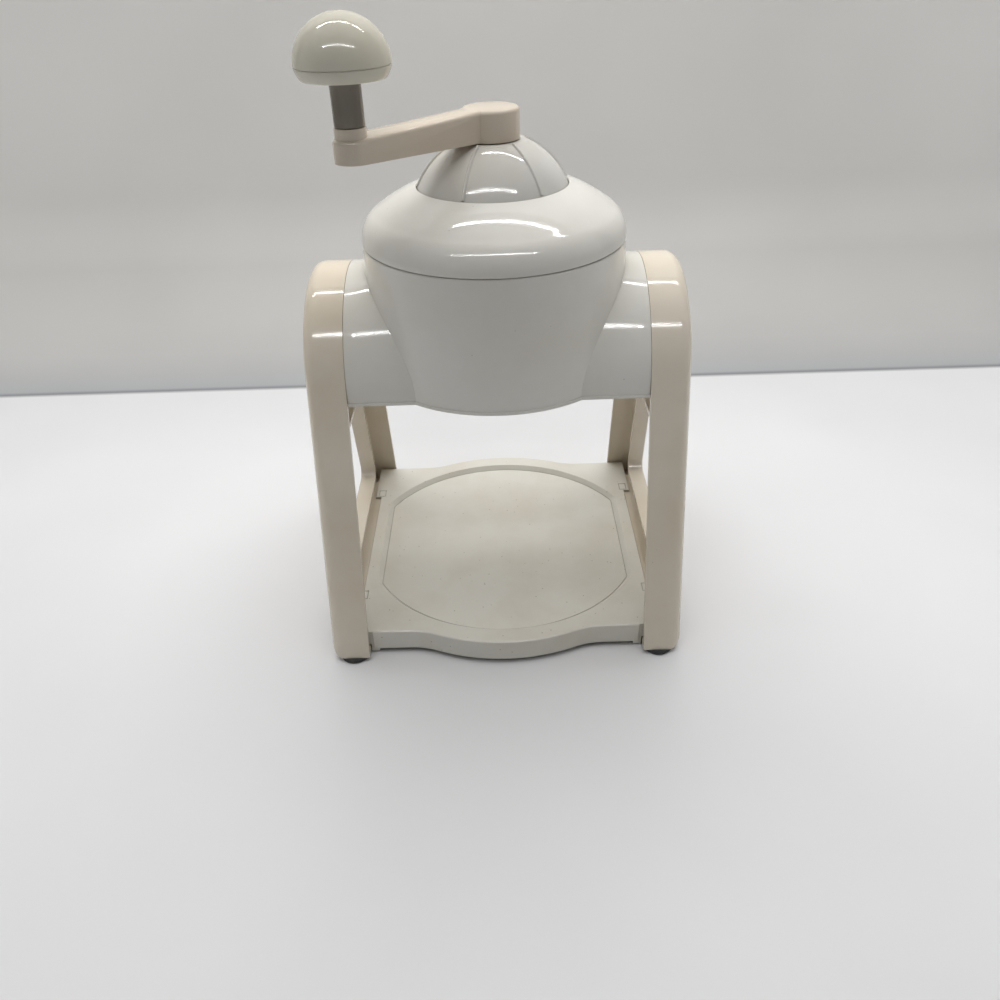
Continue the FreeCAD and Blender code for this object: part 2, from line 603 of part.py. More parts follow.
def make_blade_plate():
    """The hopper's floor, with the slot for the blade and a sloping seat behind it."""
    under = "shelf_level - plate_thick"
    disc = upright("plate_disc", "0", "0", under, "plate_radius", "plate_thick")
    holes = [block("plate_slot", ("slot_start", "-slot_front", f"{under} - 1"),
                   ("slot_length", "slot_front + slot_back", "plate_thick + 2"))]
    holes += [upright(f"plate_hole_{turn}", *on_circle("plate_screw_circle", turn), f"{under} - 1",
                      "plate_screw_radius", "plate_thick + 2") for turn in PLATE_SCREW_TURNS]
    back, block_back, middle = "slot_back - joint_gap", "slot_back + seat_front", f"{under} + plate_thick / 2"
    seat = prism("blade_seat", "YZ_Plane", "slot_start - seat_overlap",
                 [("seat_front", f"{under} - seat_depth"), (block_back, f"{under} - seat_depth"),
                  (block_back, middle), (back, middle), (back, beneath_blade(back)),
                  ("seat_front", beneath_blade("seat_front"))], "slot_length + 2 * seat_overlap")
    solid = fuse("plate_solid", [cut("plate_slotted", disc, holes), seat])
    bores = group("seat_bores", at_blade_screws("seat_bore", "plate_screw_radius", "-blade_screw_length",
                                                "blade_screw_length"))
    node(cut("blade_plate", solid, [on_blade(bores)]), "blade_plate")


def make_blade():
    """A ground steel strip, tilted, whose edge stands just above the hopper's floor."""
    strip = prism("blade_strip", "YZ_Plane", "0",
                  [("0", "0"), ("blade_grind", "-blade_thick"), ("blade_width", "-blade_thick"),
                   ("blade_width", "0")], "blade_length")
    bores = at_blade_screws("blade_bore", "plate_screw_radius", "-2 * blade_thick", "3 * blade_thick")
    node(on_blade(cut("blade", strip, bores)), "blade")
    shanks = at_blade_screws("blade_shank", "plate_screw_radius", "-blade_screw_length",
                             "blade_screw_length + blade_head_height / 2")
    heads = at_blade_screws("blade_screw_head", "2 * plate_screw_radius", "0", "blade_head_height")
    screws = [fuse(f"blade_screw_{index}", pair) for index, pair in enumerate(zip(shanks, heads))]
    node(on_blade(group("blade_screws", screws)), "blade_screws")


def upright_screw(name, x, y, seat, length, radius, head, head_height):
    """A screw that points up, with its head below the seat."""
    cap = upright(f"{name}_head", x, y, f"{seat} - {head_height}", head, head_height)
    shank = upright(f"{name}_shank", x, y, f"{seat} - {head_height} / 2", radius,
                    f"{length} + {head_height} / 2")
    return fuse(name, [cap, shank])


def make_plate_screws():
    """Screws that hold the blade plate up against the shelf."""
    screws = [upright_screw(f"plate_screw_{turn}", *on_circle("plate_screw_circle", turn),
                            "shelf_level - plate_thick", "plate_thick + shelf_thick", "plate_screw_radius",
                            "plate_head_radius", "plate_head_height") for turn in PLATE_SCREW_TURNS]
    node(group("plate_screws", screws), "plate_screws")


# ---------------------------------------------------------------- lid and dome

def lid_shell_corners():
    """Outer and inner curve of the lid, from the seam up to the dome's hole."""
    wall_foot = "bowl_top + seam_gap"
    return [("bowl_rim", wall_foot), ("bowl_rim", "lid_edge_z"),
            ("lid_shoulder", "lid_shoulder_z", "lid_edge_round", -1),
            ("lid_hole", "lid_hole_z", "lid_crown", -1),
            ("lid_hole", "dome_seat"), ("dome_seat_radius", "dome_seat"),
            ("lid_shoulder - lid_wall / 2", "lid_shoulder_z - lid_wall", "lid_crown - lid_wall", 1),
            ("bowl_rim - lid_wall", "lid_edge_z + 1.4", "lid_edge_round - lid_wall", 1),
            ("skirt_inner", "lid_edge_z + 1.4"), ("skirt_inner", "skirt_base"),
            ("skirt_outer", "skirt_base"), ("skirt_outer", wall_foot)]


def under_lid(name, base, radius, height):
    """Three upright cylinders where the lid's bosses stand."""
    return [upright(f"{name}_{turn}", *on_circle("lid_boss_circle", turn), base, radius, height)
            for turn in LID_BOSS_TURNS]


def make_lid():
    """The pillow shaped lid, with a skirt and three bayonet lugs inside the bowl."""
    shell = turned("lid_shell", lid_shell_corners())
    lugs = [sector(f"lug_{turn}", "lug_outer", "skirt_inner + lug_thick / 2", "lug_level", "lug_thick",
                   "lug_angle", turn) for turn in BAYONET_TURNS]
    plate_top = "lid_plate_level + lid_plate_thick"
    bosses = under_lid("lid_boss", plate_top, "lid_boss_radius", f"lid_boss_top - ({plate_top})")
    pilots = under_lid("lid_pilot", "lid_plate_level", "screw_radius", "lid_screw_length + 2 * joint_gap")
    node(cut("lid", fuse("lid_solid", [shell] + lugs + bosses), pilots), "lid")
    plate = upright("lid_plate_disc", "0", "0", "lid_plate_level", "lid_plate_radius", "lid_plate_thick")
    holes = [upright("lid_plate_bore", "0", "0", "lid_plate_level - 1", "nut_radius", "lid_plate_thick + 2")]
    holes += under_lid("lid_plate_hole", "lid_plate_level - 1", "screw_radius + joint_gap",
                       "lid_plate_thick + 2")
    node(cut("lid_plate", plate, holes), "lid_plate")
    screws = [upright_screw(f"lid_screw_{turn}", *on_circle("lid_boss_circle", turn), "lid_plate_level",
                            "lid_screw_length", "screw_radius", "head_radius", "head_height / 2")
              for turn in LID_BOSS_TURNS]
    node(group("lid_plate_screws", screws), "lid_plate_screws")


def make_dome():
    """The dome over the feed screw: a cap with six fine ribs and a flange under the lid."""
    top_radius = "sqrt(dome_radius ^ 2 - (dome_top - dome_centre) ^ 2)"
    inner = "(dome_radius - dome_wall)"
    ceiling = "(dome_top - dome_wall)"
    ceiling_radius = f"sqrt({inner} ^ 2 - ({ceiling} - dome_centre) ^ 2)"
    inner_base = f"sqrt({inner} ^ 2 - (dome_base - dome_centre) ^ 2)"
    flange_base = "dome_seat - dome_flange_thick"
    base_radius = "sqrt(dome_radius ^ 2 - (dome_base - dome_centre) ^ 2)"
    shell = turned("dome_shell",
                   [("dome_flange", flange_base), ("dome_flange", "dome_seat"), (base_radius, "dome_seat"),
                    (base_radius, "dome_base"), (top_radius, "dome_top", "dome_radius", -1),
                    ("bush_radius", "dome_top"), ("bush_radius", ceiling), (ceiling_radius, ceiling),
                    (inner_base, "dome_base", inner, 1), (inner_base, flange_base)])
    skin = cut("rib_skin", primitive("Sphere", "rib_sphere", ("0", "0", "dome_centre"),
                                     Radius="dome_radius + rib_proud"),
               [primitive("Sphere", "rib_core", ("0", "0", "dome_centre"), Radius="dome_radius - rib_proud")])
    rib_base = "lid_hole_z + seam_gap"
    slabs = [primitive("Box", f"rib_slab_{index}", ("0", "0", rib_base), ((0, 0, 1), turn),
                       Length="2 * dome_radius", Width="rib_width", Height=f"dome_top - ({rib_base})")
             for index, turn in enumerate(range(-52, 308, 60))]
    rib_bars = common("dome_ribs", skin, fuse("rib_star", slabs))
    node(fuse("dome_cover", [shell, rib_bars]), "dome_cover")


# ---------------------------------------------------------------- feed and presser

def turned_with_crank(part):
    """Turn a piece that is drawn with the arm along -X to where the crank stands."""
    part.Placement.Rotation = FreeCAD.Rotation(FreeCAD.Vector(0, 0, 1), SIZES["crank_turn"])
    return part


def hexagon(flats):
    """Corners of a hexagon about the axis, from its width across flats."""
    radius = f"({flats}) / (2 * cos(30))"
    return [(f"{radius} * cos({turn})", f"{radius} * sin({turn})") for turn in range(0, 360, 60)]


def make_feed():
    """Nut in the lid, hollow feed screw through it, and the hexagonal spindle inside."""
    nut = [("feed_radius + fit_gap", "nut_level"), ("nut_flange", "nut_level"),
           ("nut_flange", "lid_plate_level"), ("nut_radius", "lid_plate_level"),
           ("nut_radius", "nut_level + nut_length"), ("feed_radius + fit_gap", "nut_level + nut_length")]
    node(turned("feed_nut", nut), "feed_nut")
    tube = upright("feed_tube", "0", "0", "presser_level + presser_thick", "feed_radius",
                   "feed_top - presser_level - presser_thick")
    bore = prism("feed_bore", "XY_Plane", "presser_level + 2 * presser_thick",
                 hexagon("(hex_flats + 2 * hex_gap)"), "feed_top - presser_level")
    tie = upright("feed_tie_hole", "0", "0", "presser_level", "tie_radius", "2 * presser_thick + 1")
    node(turned_with_crank(cut("feed_screw", tube, [bore, tie])), "feed_screw")
    rod = prism("spindle_rod", "XY_Plane", "spindle_base", hexagon("hex_flats"), "journal_top - spindle_base")
    journal = upright("spindle_journal", "0", "0", "journal_base", "journal_radius",
                      "journal_top - journal_base")
    tang = prism("spindle_tang", "XY_Plane", "journal_top - 1", hexagon("tang_flats"),
                 "crank_top - arm_roof - journal_top + 1")
    node(turned_with_crank(fuse("drive_spindle", [rod, journal, tang])), "drive_spindle")
    clip_base = "bush_base - clip_gap - clip_thick"
    node(ring("spindle_clip", "clip_radius", "journal_radius", clip_base, "clip_thick"), "spindle_clip")
    bush = [("journal_radius + fit_gap", "bush_base"), ("bush_flange", "bush_base"),
            ("bush_flange", "bush_base + bush_flange_thick"),
            ("bush_radius", "bush_base + bush_flange_thick"),
            ("bush_radius", "dome_top"), ("journal_radius + fit_gap", "dome_top")]
    node(turned("spindle_bush", bush), "spindle_bush")


def make_presser():
    """A ribbed disc with a hub, which the feed screw pushes down on the ice."""
    top = "presser_level + presser_thick"
    disc = turned("presser_plate", [("tie_radius", "presser_level"), ("presser_radius", "presser_level"),
                                    ("presser_radius", top), ("presser_hub", top),
                                    ("presser_hub", "hub_top"), ("feed_radius", "hub_top"),
                                    ("feed_radius", top), ("tie_radius", top)])
    node(disc, "presser_disc")
    spikes = []
    for ring_index, (circle, count) in enumerate((("spike_ring_inner", 4), ("spike_ring_outer", 8))):
        for index in range(count):
            turn = index * FULL_TURN / count + 45.0 * ring_index / 2
            spikes.append(primitive("Cone", f"spike_{ring_index}_{index}",
                                    (f"{circle} * cos({turn})", f"{circle} * sin({turn})",
                                     "presser_level - spike_length"),
                                    Radius1="spike_tip", Radius2="spike_radius", Height="spike_length"))
    node(group("presser_spikes", spikes), "presser_spikes")
    tie = upright_screw("presser_tie", "0", "0", "presser_level", "2 * presser_thick", "tie_radius",
                        "tie_head", "tie_head_thick")
    node(tie, "presser_screw")


# ---------------------------------------------------------------- crank and knob

def arm_plan(half_head, end_radius):
    """The arm from above: a bar with a round end, along -X."""
    return [("0", f"-({half_head})"), ("0", half_head), ("-crank_reach", end_radius),
            (f"-crank_reach - ({end_radius})", "0", end_radius, -1),
            ("-crank_reach", f"-({end_radius})", end_radius, -1)]


def arm_side(base_drop, roof):
    """The arm from the side: deeper at the head than at the knob."""
    far = "-crank_reach - arm_end_radius - 1"
    return [("0", f"crank_base - {base_drop}"), (far, f"arm_end_base - {base_drop}"),
            (far, f"arm_end_top - {roof}"), ("-head_crank_radius", f"crank_top - {roof}"),
            ("0", f"crank_top - {roof}")]


def arm_block(name, half_head, end_radius, base_drop, roof):
    """The arm's plan and side view in one solid."""
    plan = prism(f"{name}_plan", "XY_Plane", "crank_base - 2", arm_plan(half_head, end_radius),
                 "crank_top - crank_base + 4")
    side = prism(f"{name}_side", "XZ_Plane", "-2 * arm_end_radius", arm_side(base_drop, roof),
                 "4 * arm_end_radius")
    return common(name, plan, side)


def make_crank():
    """The crank: round head, tapering arm hollow from below, and the boss for the knob."""
    arm = rounded_top("arm_rounded", arm_block("arm_solid", "arm_half_head", "arm_end_radius", "0", "0"))
    head = rounded_top("head_rounded", upright("crank_head", "0", "0", "crank_base", "head_crank_radius",
                                               "crank_top - crank_base"))
    inner_end = "arm_end_radius - arm_wall"
    hollow = fuse("crank_hollow",
                  [arm_block("arm_hollow", "arm_half_head - arm_wall", inner_end, "3", "arm_roof"),
                   upright("head_hollow", "0", "0", "crank_base - 1", "head_crank_radius - arm_wall",
                           "crank_top - crank_base - arm_roof + 1")])
    shell = cut("crank_shell", fuse("crank_outside", [arm, head]), [hollow])
    hub = upright("crank_hub", "0", "0", "journal_top + joint_gap", "hub_radius",
                  "crank_top - arm_roof / 2 - journal_top - joint_gap")
    seat_base = "pin_base + pin_head_thick + washer_thick"
    pin_seat = upright("pin_seat", "-crank_reach", "0", seat_base, "arm_end_radius - arm_wall / 2",
                       f"arm_end_top - arm_roof / 2 - ({seat_base})")
    boss = upright("knob_boss", "-crank_reach", "0", "arm_end_top - 1", "knob_boss_radius",
                   "knob_boss_top - arm_end_top + 1")
    socket = prism("tang_socket", "XY_Plane", "journal_top - 1", hexagon("tang_flats"),
                   "crank_top - arm_roof - journal_top + 1")
    pin_hole = upright("pin_hole", "-crank_reach", "0", "pin_base", "pin_radius", "stem_base - pin_base")
    crank = cut("crank_arm", fuse("crank_joined", [shell, hub, pin_seat, boss]), [socket, pin_hole])
    node(turned_with_crank(crank), "crank_arm")


def rounded_top(name, solid):
    """The solid with the edges round its upper faces filleted."""
    doc.recompute()
    rounded = doc.addObject("Part::Fillet", name)
    rounded.Base = solid
    radius = SIZES["arm_round"]
    rounded.Edges = [(number, radius, radius)
                     for number, edge in enumerate(solid.Shape.Edges, start=1) if is_top_rim(edge)]
    return rounded


def is_top_rim(edge):
    """True for an edge that runs round the top, not for the one hidden in the head."""
    box = edge.BoundBox
    return box.ZMin > value("arm_end_top") - 0.6 and box.XLength > 1.0


KNOB_X = "-crank_reach * cos(crank_turn)"
KNOB_Y = "-crank_reach * sin(crank_turn)"


def make_knob():
    """Steel pin, grey sleeve, shallow base and domed cap, all about the knob's own axis."""
    at = (KNOB_X, KNOB_Y, "0")
    rivet_top = "pin_base + pin_head_thick"
    pin = [("0", "pin_base"), ("pin_head", "pin_base"), ("pin_head", rivet_top), ("pin_radius", rivet_top),
           ("pin_radius", "pin_top"), ("pin_head", "pin_top"), ("pin_head", "pin_top + pin_head_thick"),
           ("0", "pin_top + pin_head_thick")]
    node(turned("knob_pin", pin, at), "knob_pin")
    node(turned("knob_washer", [("pin_radius", rivet_top), ("washer_radius", rivet_top),
                                ("washer_radius", f"{rivet_top} + washer_thick"),
                                ("pin_radius", f"{rivet_top} + washer_thick")], at), "knob_washer")
    bore = "pin_radius + fit_gap"
    node(turned("knob_stem", [(bore, "stem_base"), ("stem_radius", "stem_base"), ("stem_radius", "stem_top"),
                              (bore, "stem_top")], at), "knob_stem")
    inner = "knob_radius - knob_wall"
    floor_top = "knob_low + knob_floor"
    node(turned("knob_base", [("stem_radius", "knob_low"), ("knob_low_radius", "knob_low"),
                              ("knob_radius", "knob_seam", "knob_low_round", -1), (inner, "knob_seam"),
                              (f"{inner} - 1", floor_top), ("stem_radius", floor_top)], at), "knob_base")
    side_x = "(knob_radius - knob_side_round + knob_side_round * cos(knob_side_angle))"
    side_z = "(knob_seam + knob_side_round * sin(knob_side_angle))"
    crown = f"({side_x} / cos(knob_side_angle))"
    peak = f"({side_z} - {crown} * sin(knob_side_angle) + {crown})"
    node(turned("knob_cap", [("knob_radius", "knob_seam"), (side_x, side_z, "knob_side_round", -1),
                             ("0", peak, crown, -1), ("0", f"{peak} - knob_wall"),
                             (f"{side_x} * ({crown} - knob_wall) / {crown}",
                              f"{side_z} - knob_wall * sin(knob_side_angle)", f"{crown} - knob_wall", 1),
                             (inner, "knob_seam", "knob_side_round - knob_wall", 1)], at), "knob_cap")


# ---------------------------------------------------------------- build and write

def check(objects):
    """Stop if any object failed or any kept shape is not sound."""
    failed = [obj.Name for obj in doc.Objects if {"Invalid", "Error"} & set(obj.State)]
    if failed:
        raise RuntimeError(f"failed: {failed}")
    for obj in objects:
        if obj.Shape.isNull() or not obj.Shape.isValid():
            raise RuntimeError(f"unsound shape: {obj.Label}")


def write(objects):
    """One STEP file for each node."""
    os.makedirs("parts", exist_ok=True)
    for obj in objects:
        obj.Shape.exportStep(os.path.join("parts", f"{obj.Label}.step"))
        print(f"{obj.Label:18s} solids {len(obj.Shape.Solids):2d}  volume {obj.Shape.Volume / 1000:8.2f} cm3")


for make in (make_frames, make_feet, make_side_screws, make_tray, make_housing, make_hopper,
             make_blade_plate, make_blade, make_plate_screws, make_lid, make_dome, make_feed,
             make_presser, make_crank, make_knob):
    make()
doc.recompute()
check(nodes)
write(nodes)
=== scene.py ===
"""Hand cranked ice shaver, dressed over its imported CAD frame.

Lengths in the classes below are millimetres in the frame's own axes: +X to the
right, +Y to the back, +Z up from the table.  They become metres when a piece is
finished.  The studio's own lengths are metres.
"""

import logging
import math
from collections.abc import Callable, Iterable
from dataclasses import dataclass, field
from enum import Enum

import bmesh
import bpy
from mathutils import Matrix, Vector


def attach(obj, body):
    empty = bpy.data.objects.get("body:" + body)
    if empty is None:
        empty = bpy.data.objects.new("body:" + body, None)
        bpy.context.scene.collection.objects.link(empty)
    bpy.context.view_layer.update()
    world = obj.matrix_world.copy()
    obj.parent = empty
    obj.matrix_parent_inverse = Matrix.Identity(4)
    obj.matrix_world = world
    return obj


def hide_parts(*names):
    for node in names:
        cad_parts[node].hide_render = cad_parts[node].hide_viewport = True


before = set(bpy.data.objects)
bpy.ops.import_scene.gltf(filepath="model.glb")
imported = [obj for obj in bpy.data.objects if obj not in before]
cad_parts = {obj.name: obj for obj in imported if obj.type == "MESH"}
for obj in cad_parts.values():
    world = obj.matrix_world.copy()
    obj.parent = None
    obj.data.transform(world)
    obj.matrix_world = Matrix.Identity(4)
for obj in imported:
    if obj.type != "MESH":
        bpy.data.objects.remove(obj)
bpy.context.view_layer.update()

log = logging.getLogger("ice_shaver")

MM = 0.001
FULL_TURN = 2.0 * math.pi
SMOOTH_ANGLE = math.radians(32.0)
# Ends this near to a plane lie in it, and points this near to each other are one.
SAME_PLANE = 1e-3
SAME_POINT = 1e-4
# How far a cutting tool runs past the face that it cuts, and a part into what it joins.
OVERCUT = 1.0

Point = tuple[float, float]
Place = tuple[float, float, float]
Form = bmesh.types.BMesh
Outline = list[Point]
EdgeTest = Callable[[Vector, Vector], bool]


class Across(Enum):
    """The axis that an outline is pushed along, as its place in X, Y and Z."""

    X = 0
    Y = 1
    Z = 2


class Cut(Enum):
    """How one solid acts on another."""

    JOIN = "UNION"
    TAKE = "DIFFERENCE"
    SHARE = "INTERSECT"


class Body(Enum):
    """The bodies that move against each other."""

    STAND = "stand"
    LID = "lid"
    CRANK = "crank"
    KNOB = "knob"


class LampShows(Enum):
    """What a lamp does: it lights, it glints in gloss, or both."""

    GLOW = "glow"
    GLINT = "glint"
    BOTH = "both"


# ------------------------------------------------------------------ shaping


def arc(centre: Point, radius: float, start: float, end: float, steps: int) -> Outline:
    """Points along an arc.

    Args:
        centre: the arc's centre.
        radius: its radius.
        start: the first angle, in degrees.
        end: the last angle, in degrees.
        steps: how many chords it has.

    Returns:
        The points, first and last included.
    """
    angles = [math.radians(start + (end - start) * step / steps) for step in range(steps + 1)]
    return [(centre[0] + radius * math.cos(a), centre[1] + radius * math.sin(a)) for a in angles]


def arc_through(start: Point, end: Point, radius: float, steps: int) -> Outline:
    """Points along the short arc that bulges to the right of the way from start to end.

    Args:
        start: where it begins.
        end: where it ends.
        radius: its radius.
        steps: how many chords it has.

    Returns:
        The points after start, end included.
    """
    middle = Vector(((start[0] + end[0]) / 2, (start[1] + end[1]) / 2))
    chord = Vector((end[0] - start[0], end[1] - start[1]))
    left = Vector((-chord.y, chord.x)).normalized()
    centre = middle + left * math.sqrt(max(radius**2 - (chord.length / 2) ** 2, 0.0))
    first = math.atan2(start[1] - centre.y, start[0] - centre.x)
    last = math.atan2(end[1] - centre.y, end[0] - centre.x)
    swing = (last - first + math.pi) % FULL_TURN - math.pi
    return arc(tuple(centre), radius, math.degrees(first), math.degrees(first + swing), steps)[1:]


def placed(point: Point, level: float, across: Across) -> Vector:
    """Set a flat point at a level along an axis.

    Args:
        point: its place in the two other axes, in X, Y, Z order.
        level: its place along the axis.
        across: the axis.

    Returns:
        The point in space.
    """
    spot = list(point)
    spot.insert(across.value, level)
    return Vector(spot)


def corners_of(grown: Iterable[object]) -> list[bmesh.types.BMVert]:
    """The vertices among the parts that an extrusion made."""
    return [part for part in grown if isinstance(part, bmesh.types.BMVert)]


def prism(outline: Outline, low: float, high: float, across: Across) -> Form:
    """A straight solid from a closed outline.

    Args:
        outline: its corners, in the two axes that remain, in X, Y, Z order.
        low: where it starts along the axis.
        high: where it ends.
        across: the axis.

    Returns:
        The closed solid, with its faces outwards.
    """
    form = bmesh.new()
    face = form.faces.new([form.verts.new(placed(point, low, across)) for point in outline])
    grown = bmesh.ops.extrude_face_region(form, geom=[face])["geom"]
    move = Vector([high - low if axis == across.value else 0.0 for axis in range(3)])
    bmesh.ops.translate(form, vec=move, verts=corners_of(grown))
    bmesh.ops.recalc_face_normals(form, faces=form.faces)
    return form


def loft(low_outline: Outline, low: float, high_outline: Outline, high: float) -> Form:
    """A solid between two level outlines of as many corners each.

    Args:
        low_outline: the X and Y of the lower outline's corners.
        low: its level.
        high_outline: the X and Y of the upper outline's corners.
        high: its level.

    Returns:
        The closed solid, with its faces outwards.
    """
    form = bmesh.new()
    rims = []
    for outline, level in ((low_outline, low), (high_outline, high)):
        ring = [form.verts.new((x, y, level)) for x, y in outline]
        rims += [form.edges.new((ring[index - 1], ring[index])) for index in range(len(ring))]
    bmesh.ops.bridge_loops(form, edges=rims)
    bmesh.ops.holes_fill(form, edges=form.edges, sides=len(low_outline))
    bmesh.ops.recalc_face_normals(form, faces=form.faces)
    return form


def block(low: Place, high: Place) -> Form:
    """A box between two corners.

    Args:
        low: the corner with the least X, Y and Z.
        high: the corner across from it.

    Returns:
        The box.
    """
    form = bmesh.new()
    bmesh.ops.create_cube(form, size=1.0)
    size = [high[axis] - low[axis] for axis in range(3)]
    middle = [(high[axis] + low[axis]) / 2 for axis in range(3)]
    bmesh.ops.scale(form, vec=size, verts=form.verts)
    bmesh.ops.translate(form, vec=middle, verts=form.verts)
    return form


def spun(profile: Outline, steps: int = 128, centre: Point = (0.0, 0.0)) -> Form:
    """A solid of revolution about an upright axis.

    Args:
        profile: closed (radius, height) outline.
        steps: how many flat strips go round.
        centre: X and Y of the axis.

    Returns:
        The closed solid.
    """
    form = bmesh.new()
    points = [form.verts.new((radius, 0.0, height)) for radius, height in profile]
    lines = [form.edges.new((points[index - 1], points[index])) for index in range(len(points))]
    bmesh.ops.spin(form, geom=points + lines, cent=(0, 0, 0), axis=(0, 0, 1), angle=FULL_TURN, steps=steps,
                   use_merge=True, use_normal_flip=False, use_duplicate=False)
    bmesh.ops.remove_doubles(form, verts=form.verts, dist=SAME_POINT)
    bmesh.ops.dissolve_degenerate(form, dist=SAME_POINT, edges=form.edges)
    bmesh.ops.recalc_face_normals(form, faces=form.faces)
    bmesh.ops.translate(form, vec=(*centre, 0.0), verts=form.verts)
    return form


def rod(foot: Place, radius: float, length: float, across: Across, steps: int = 32) -> Form:
    """A cylinder that runs along an axis.

    Args:
        foot: the middle of the end where it starts.
        radius: its radius.
        length: how far it runs.
        across: the axis.
        steps: how many flat strips go round.

    Returns:
        The cylinder.
    """
    form = bmesh.new()
    bmesh.ops.create_cone(form, cap_ends=True, segments=steps, radius1=radius, radius2=radius, depth=length)
    turn = {Across.X: Matrix.Rotation(math.pi / 2, 4, "Y"), Across.Y: Matrix.Rotation(-math.pi / 2, 4, "X"),
            Across.Z: Matrix.Identity(4)}[across]
    along = Vector([length / 2 if axis == across.value else 0.0 for axis in range(3)])
    bmesh.ops.transform(form, matrix=Matrix.Translation(Vector(foot) + along) @ turn, verts=form.verts)
    return form


def bevelled(form: Form, edges: list[bmesh.types.BMEdge], width: float, segments: int,
             slide: bool = False) -> Form:
    """Round some of a form's edges.

    Args:
        form: the form, which is changed.
        edges: the edges to round.
        width: how far the rounding reaches from an edge.
        segments: how many flat strips it has.
        slide: whether its ends slide along the edges that meet it.

    Returns:
        The same form.
    """
    bmesh.ops.bevel(form, geom=edges, offset=width, offset_type="OFFSET", segments=segments, profile=0.5,
                    affect="EDGES", material=-1, clamp_overlap=True, loop_slide=slide)
    return form


def rounded(form: Form, width: float, segments: int, chosen: EdgeTest) -> Form:
    """Round the edges whose two ends pass a test."""
    edges = [edge for edge in form.edges if chosen(edge.verts[0].co, edge.verts[1].co)]
    return bevelled(form, edges, width, segments, slide=True)


def level_at(axis: Across, level: float) -> EdgeTest:
    """A test for edges that lie in one plane across an axis."""
    return lambda one, two: all(abs(end[axis.value] - level) < SAME_PLANE for end in (one, two))


def is_crease(edge: bmesh.types.BMEdge, degrees: float) -> bool:
    """Whether two faces meet at an edge and turn by more than some degrees there."""
    return len(edge.link_faces) == 2 and edge.calc_face_angle(0.0) > math.radians(degrees)


def turned_about_z(form: Form, degrees: float) -> Form:
    """Turn a form about the crank's axis.

    Args:
        form: the form, which is changed.
        degrees: how far.

    Returns:
        The same form.
    """
    turn = Matrix.Rotation(math.radians(degrees), 3, "Z")
    bmesh.ops.rotate(form, cent=(0, 0, 0), matrix=turn, verts=form.verts)
    return form


def flipped_over_x(form: Form) -> Form:
    """Put a form on the other side of the middle plane.

    Args:
        form: the form, which is changed.

    Returns:
        The same form, with its faces outwards again.
    """
    bmesh.ops.scale(form, vec=(-1, 1, 1), verts=form.verts)
    bmesh.ops.recalc_face_normals(form, faces=form.faces)
    return form


def mesh_of(form: Form, name: str) -> bpy.types.Mesh:
    """Turn a form into a mesh.

    Args:
        form: the form, which is used up.
        name: the mesh's name.

    Returns:
        The mesh.
    """
    mesh = bpy.data.meshes.new(name)
    form.to_mesh(mesh)
    form.free()
    return mesh


def gathered(*forms: Form) -> Form:
    """Put several forms into one, unmerged.

    Args:
        forms: the forms, which are used up.

    Returns:
        The one form.
    """
    whole = bmesh.new()
    for form in forms:
        mesh = mesh_of(form, "part")
        whole.from_mesh(mesh)
        bpy.data.meshes.remove(mesh)
    return whole


def worked(form: Form, steps: Callable[[bpy.types.Object], None]) -> Form:
    """Run modifiers over a form.

    Args:
        form: the form, which is used up.
        steps: adds the modifiers to the object that it is given.

    Returns:
        What the modifiers make of it.
    """
    mesh = mesh_of(form, "blank")
    blank = bpy.data.objects.new("blank", mesh)
    bpy.context.scene.collection.objects.link(blank)
    steps(blank)
    shaped = bpy.data.meshes.new_from_object(blank.evaluated_get(bpy.context.evaluated_depsgraph_get()))
    result = bmesh.new()
    result.from_mesh(shaped)
    bpy.data.objects.remove(blank)
    for spent in (mesh, shaped):
        bpy.data.meshes.remove(spent)
    return result


def carved(base: Form, tool: Form, cut: Cut) -> Form:
    """One solid joined with, cut by or kept within another.

    Args:
        base: the solid that is worked on, which is used up.
        tool: the solid that works on it, which is used up.
        cut: what it does.

    Returns:
        The solid that is left.
    """
    tool_mesh = mesh_of(tool, "tool")
    cutter = bpy.data.objects.new("tool", tool_mesh)
    bpy.context.scene.collection.objects.link(cutter)

    def add_step(blank: bpy.types.Object) -> None:
        """Put the cut on the base."""
        step = blank.modifiers.new("cut", "BOOLEAN")
        step.operation, step.solver, step.object = cut.value, "EXACT", cutter

    result = worked(base, add_step)
    bpy.data.objects.remove(cutter)
    bpy.data.meshes.remove(tool_mesh)
    bmesh.ops.remove_doubles(result, verts=result.verts, dist=SAME_POINT)
    bmesh.ops.dissolve_degenerate(result, dist=SAME_POINT, edges=result.edges)
    return result


# ------------------------------------------------------------------ finishes


def linear(code: str) -> tuple[float, float, float, float]:
    """Turn an sRGB hex value to linear light.

    Args:
        code: the colour, as #RRGGBB.

    Returns:
        Red, green, blue and an alpha of one.
    """
    parts = [int(code[index:index + 2], 16) / 255.0 for index in (1, 3, 5)]
    red, green, blue = [part / 12.92 if part <= 0.04045 else ((part + 0.055) / 1.055) ** 2.4 for part in parts]
    return red, green, blue, 1.0


def per_metre(size_mm: float) -> float:
    """The texture scale that gives a pattern of this size."""
    return 1000.0 / size_mm


def add_node(tree: bpy.types.NodeTree, kind: str, settings: dict | None = None,
             links: dict | None = None) -> bpy.types.Node:
    """Add a node.

    Args:
        tree: the material's tree.
        kind: the node's type.
        settings: values by input name or index, or by property name.
        links: output sockets by input name or index.

    Returns:
        The node.
    """
    node = tree.nodes.new(kind)
    for name, value in (settings or {}).items():
        if isinstance(name, str) and hasattr(node, name):
            setattr(node, name, value)
        else:
            node.inputs[name].default_value = value
    for name, socket in (links or {}).items():
        tree.links.new(socket, node.inputs[name])
    return node


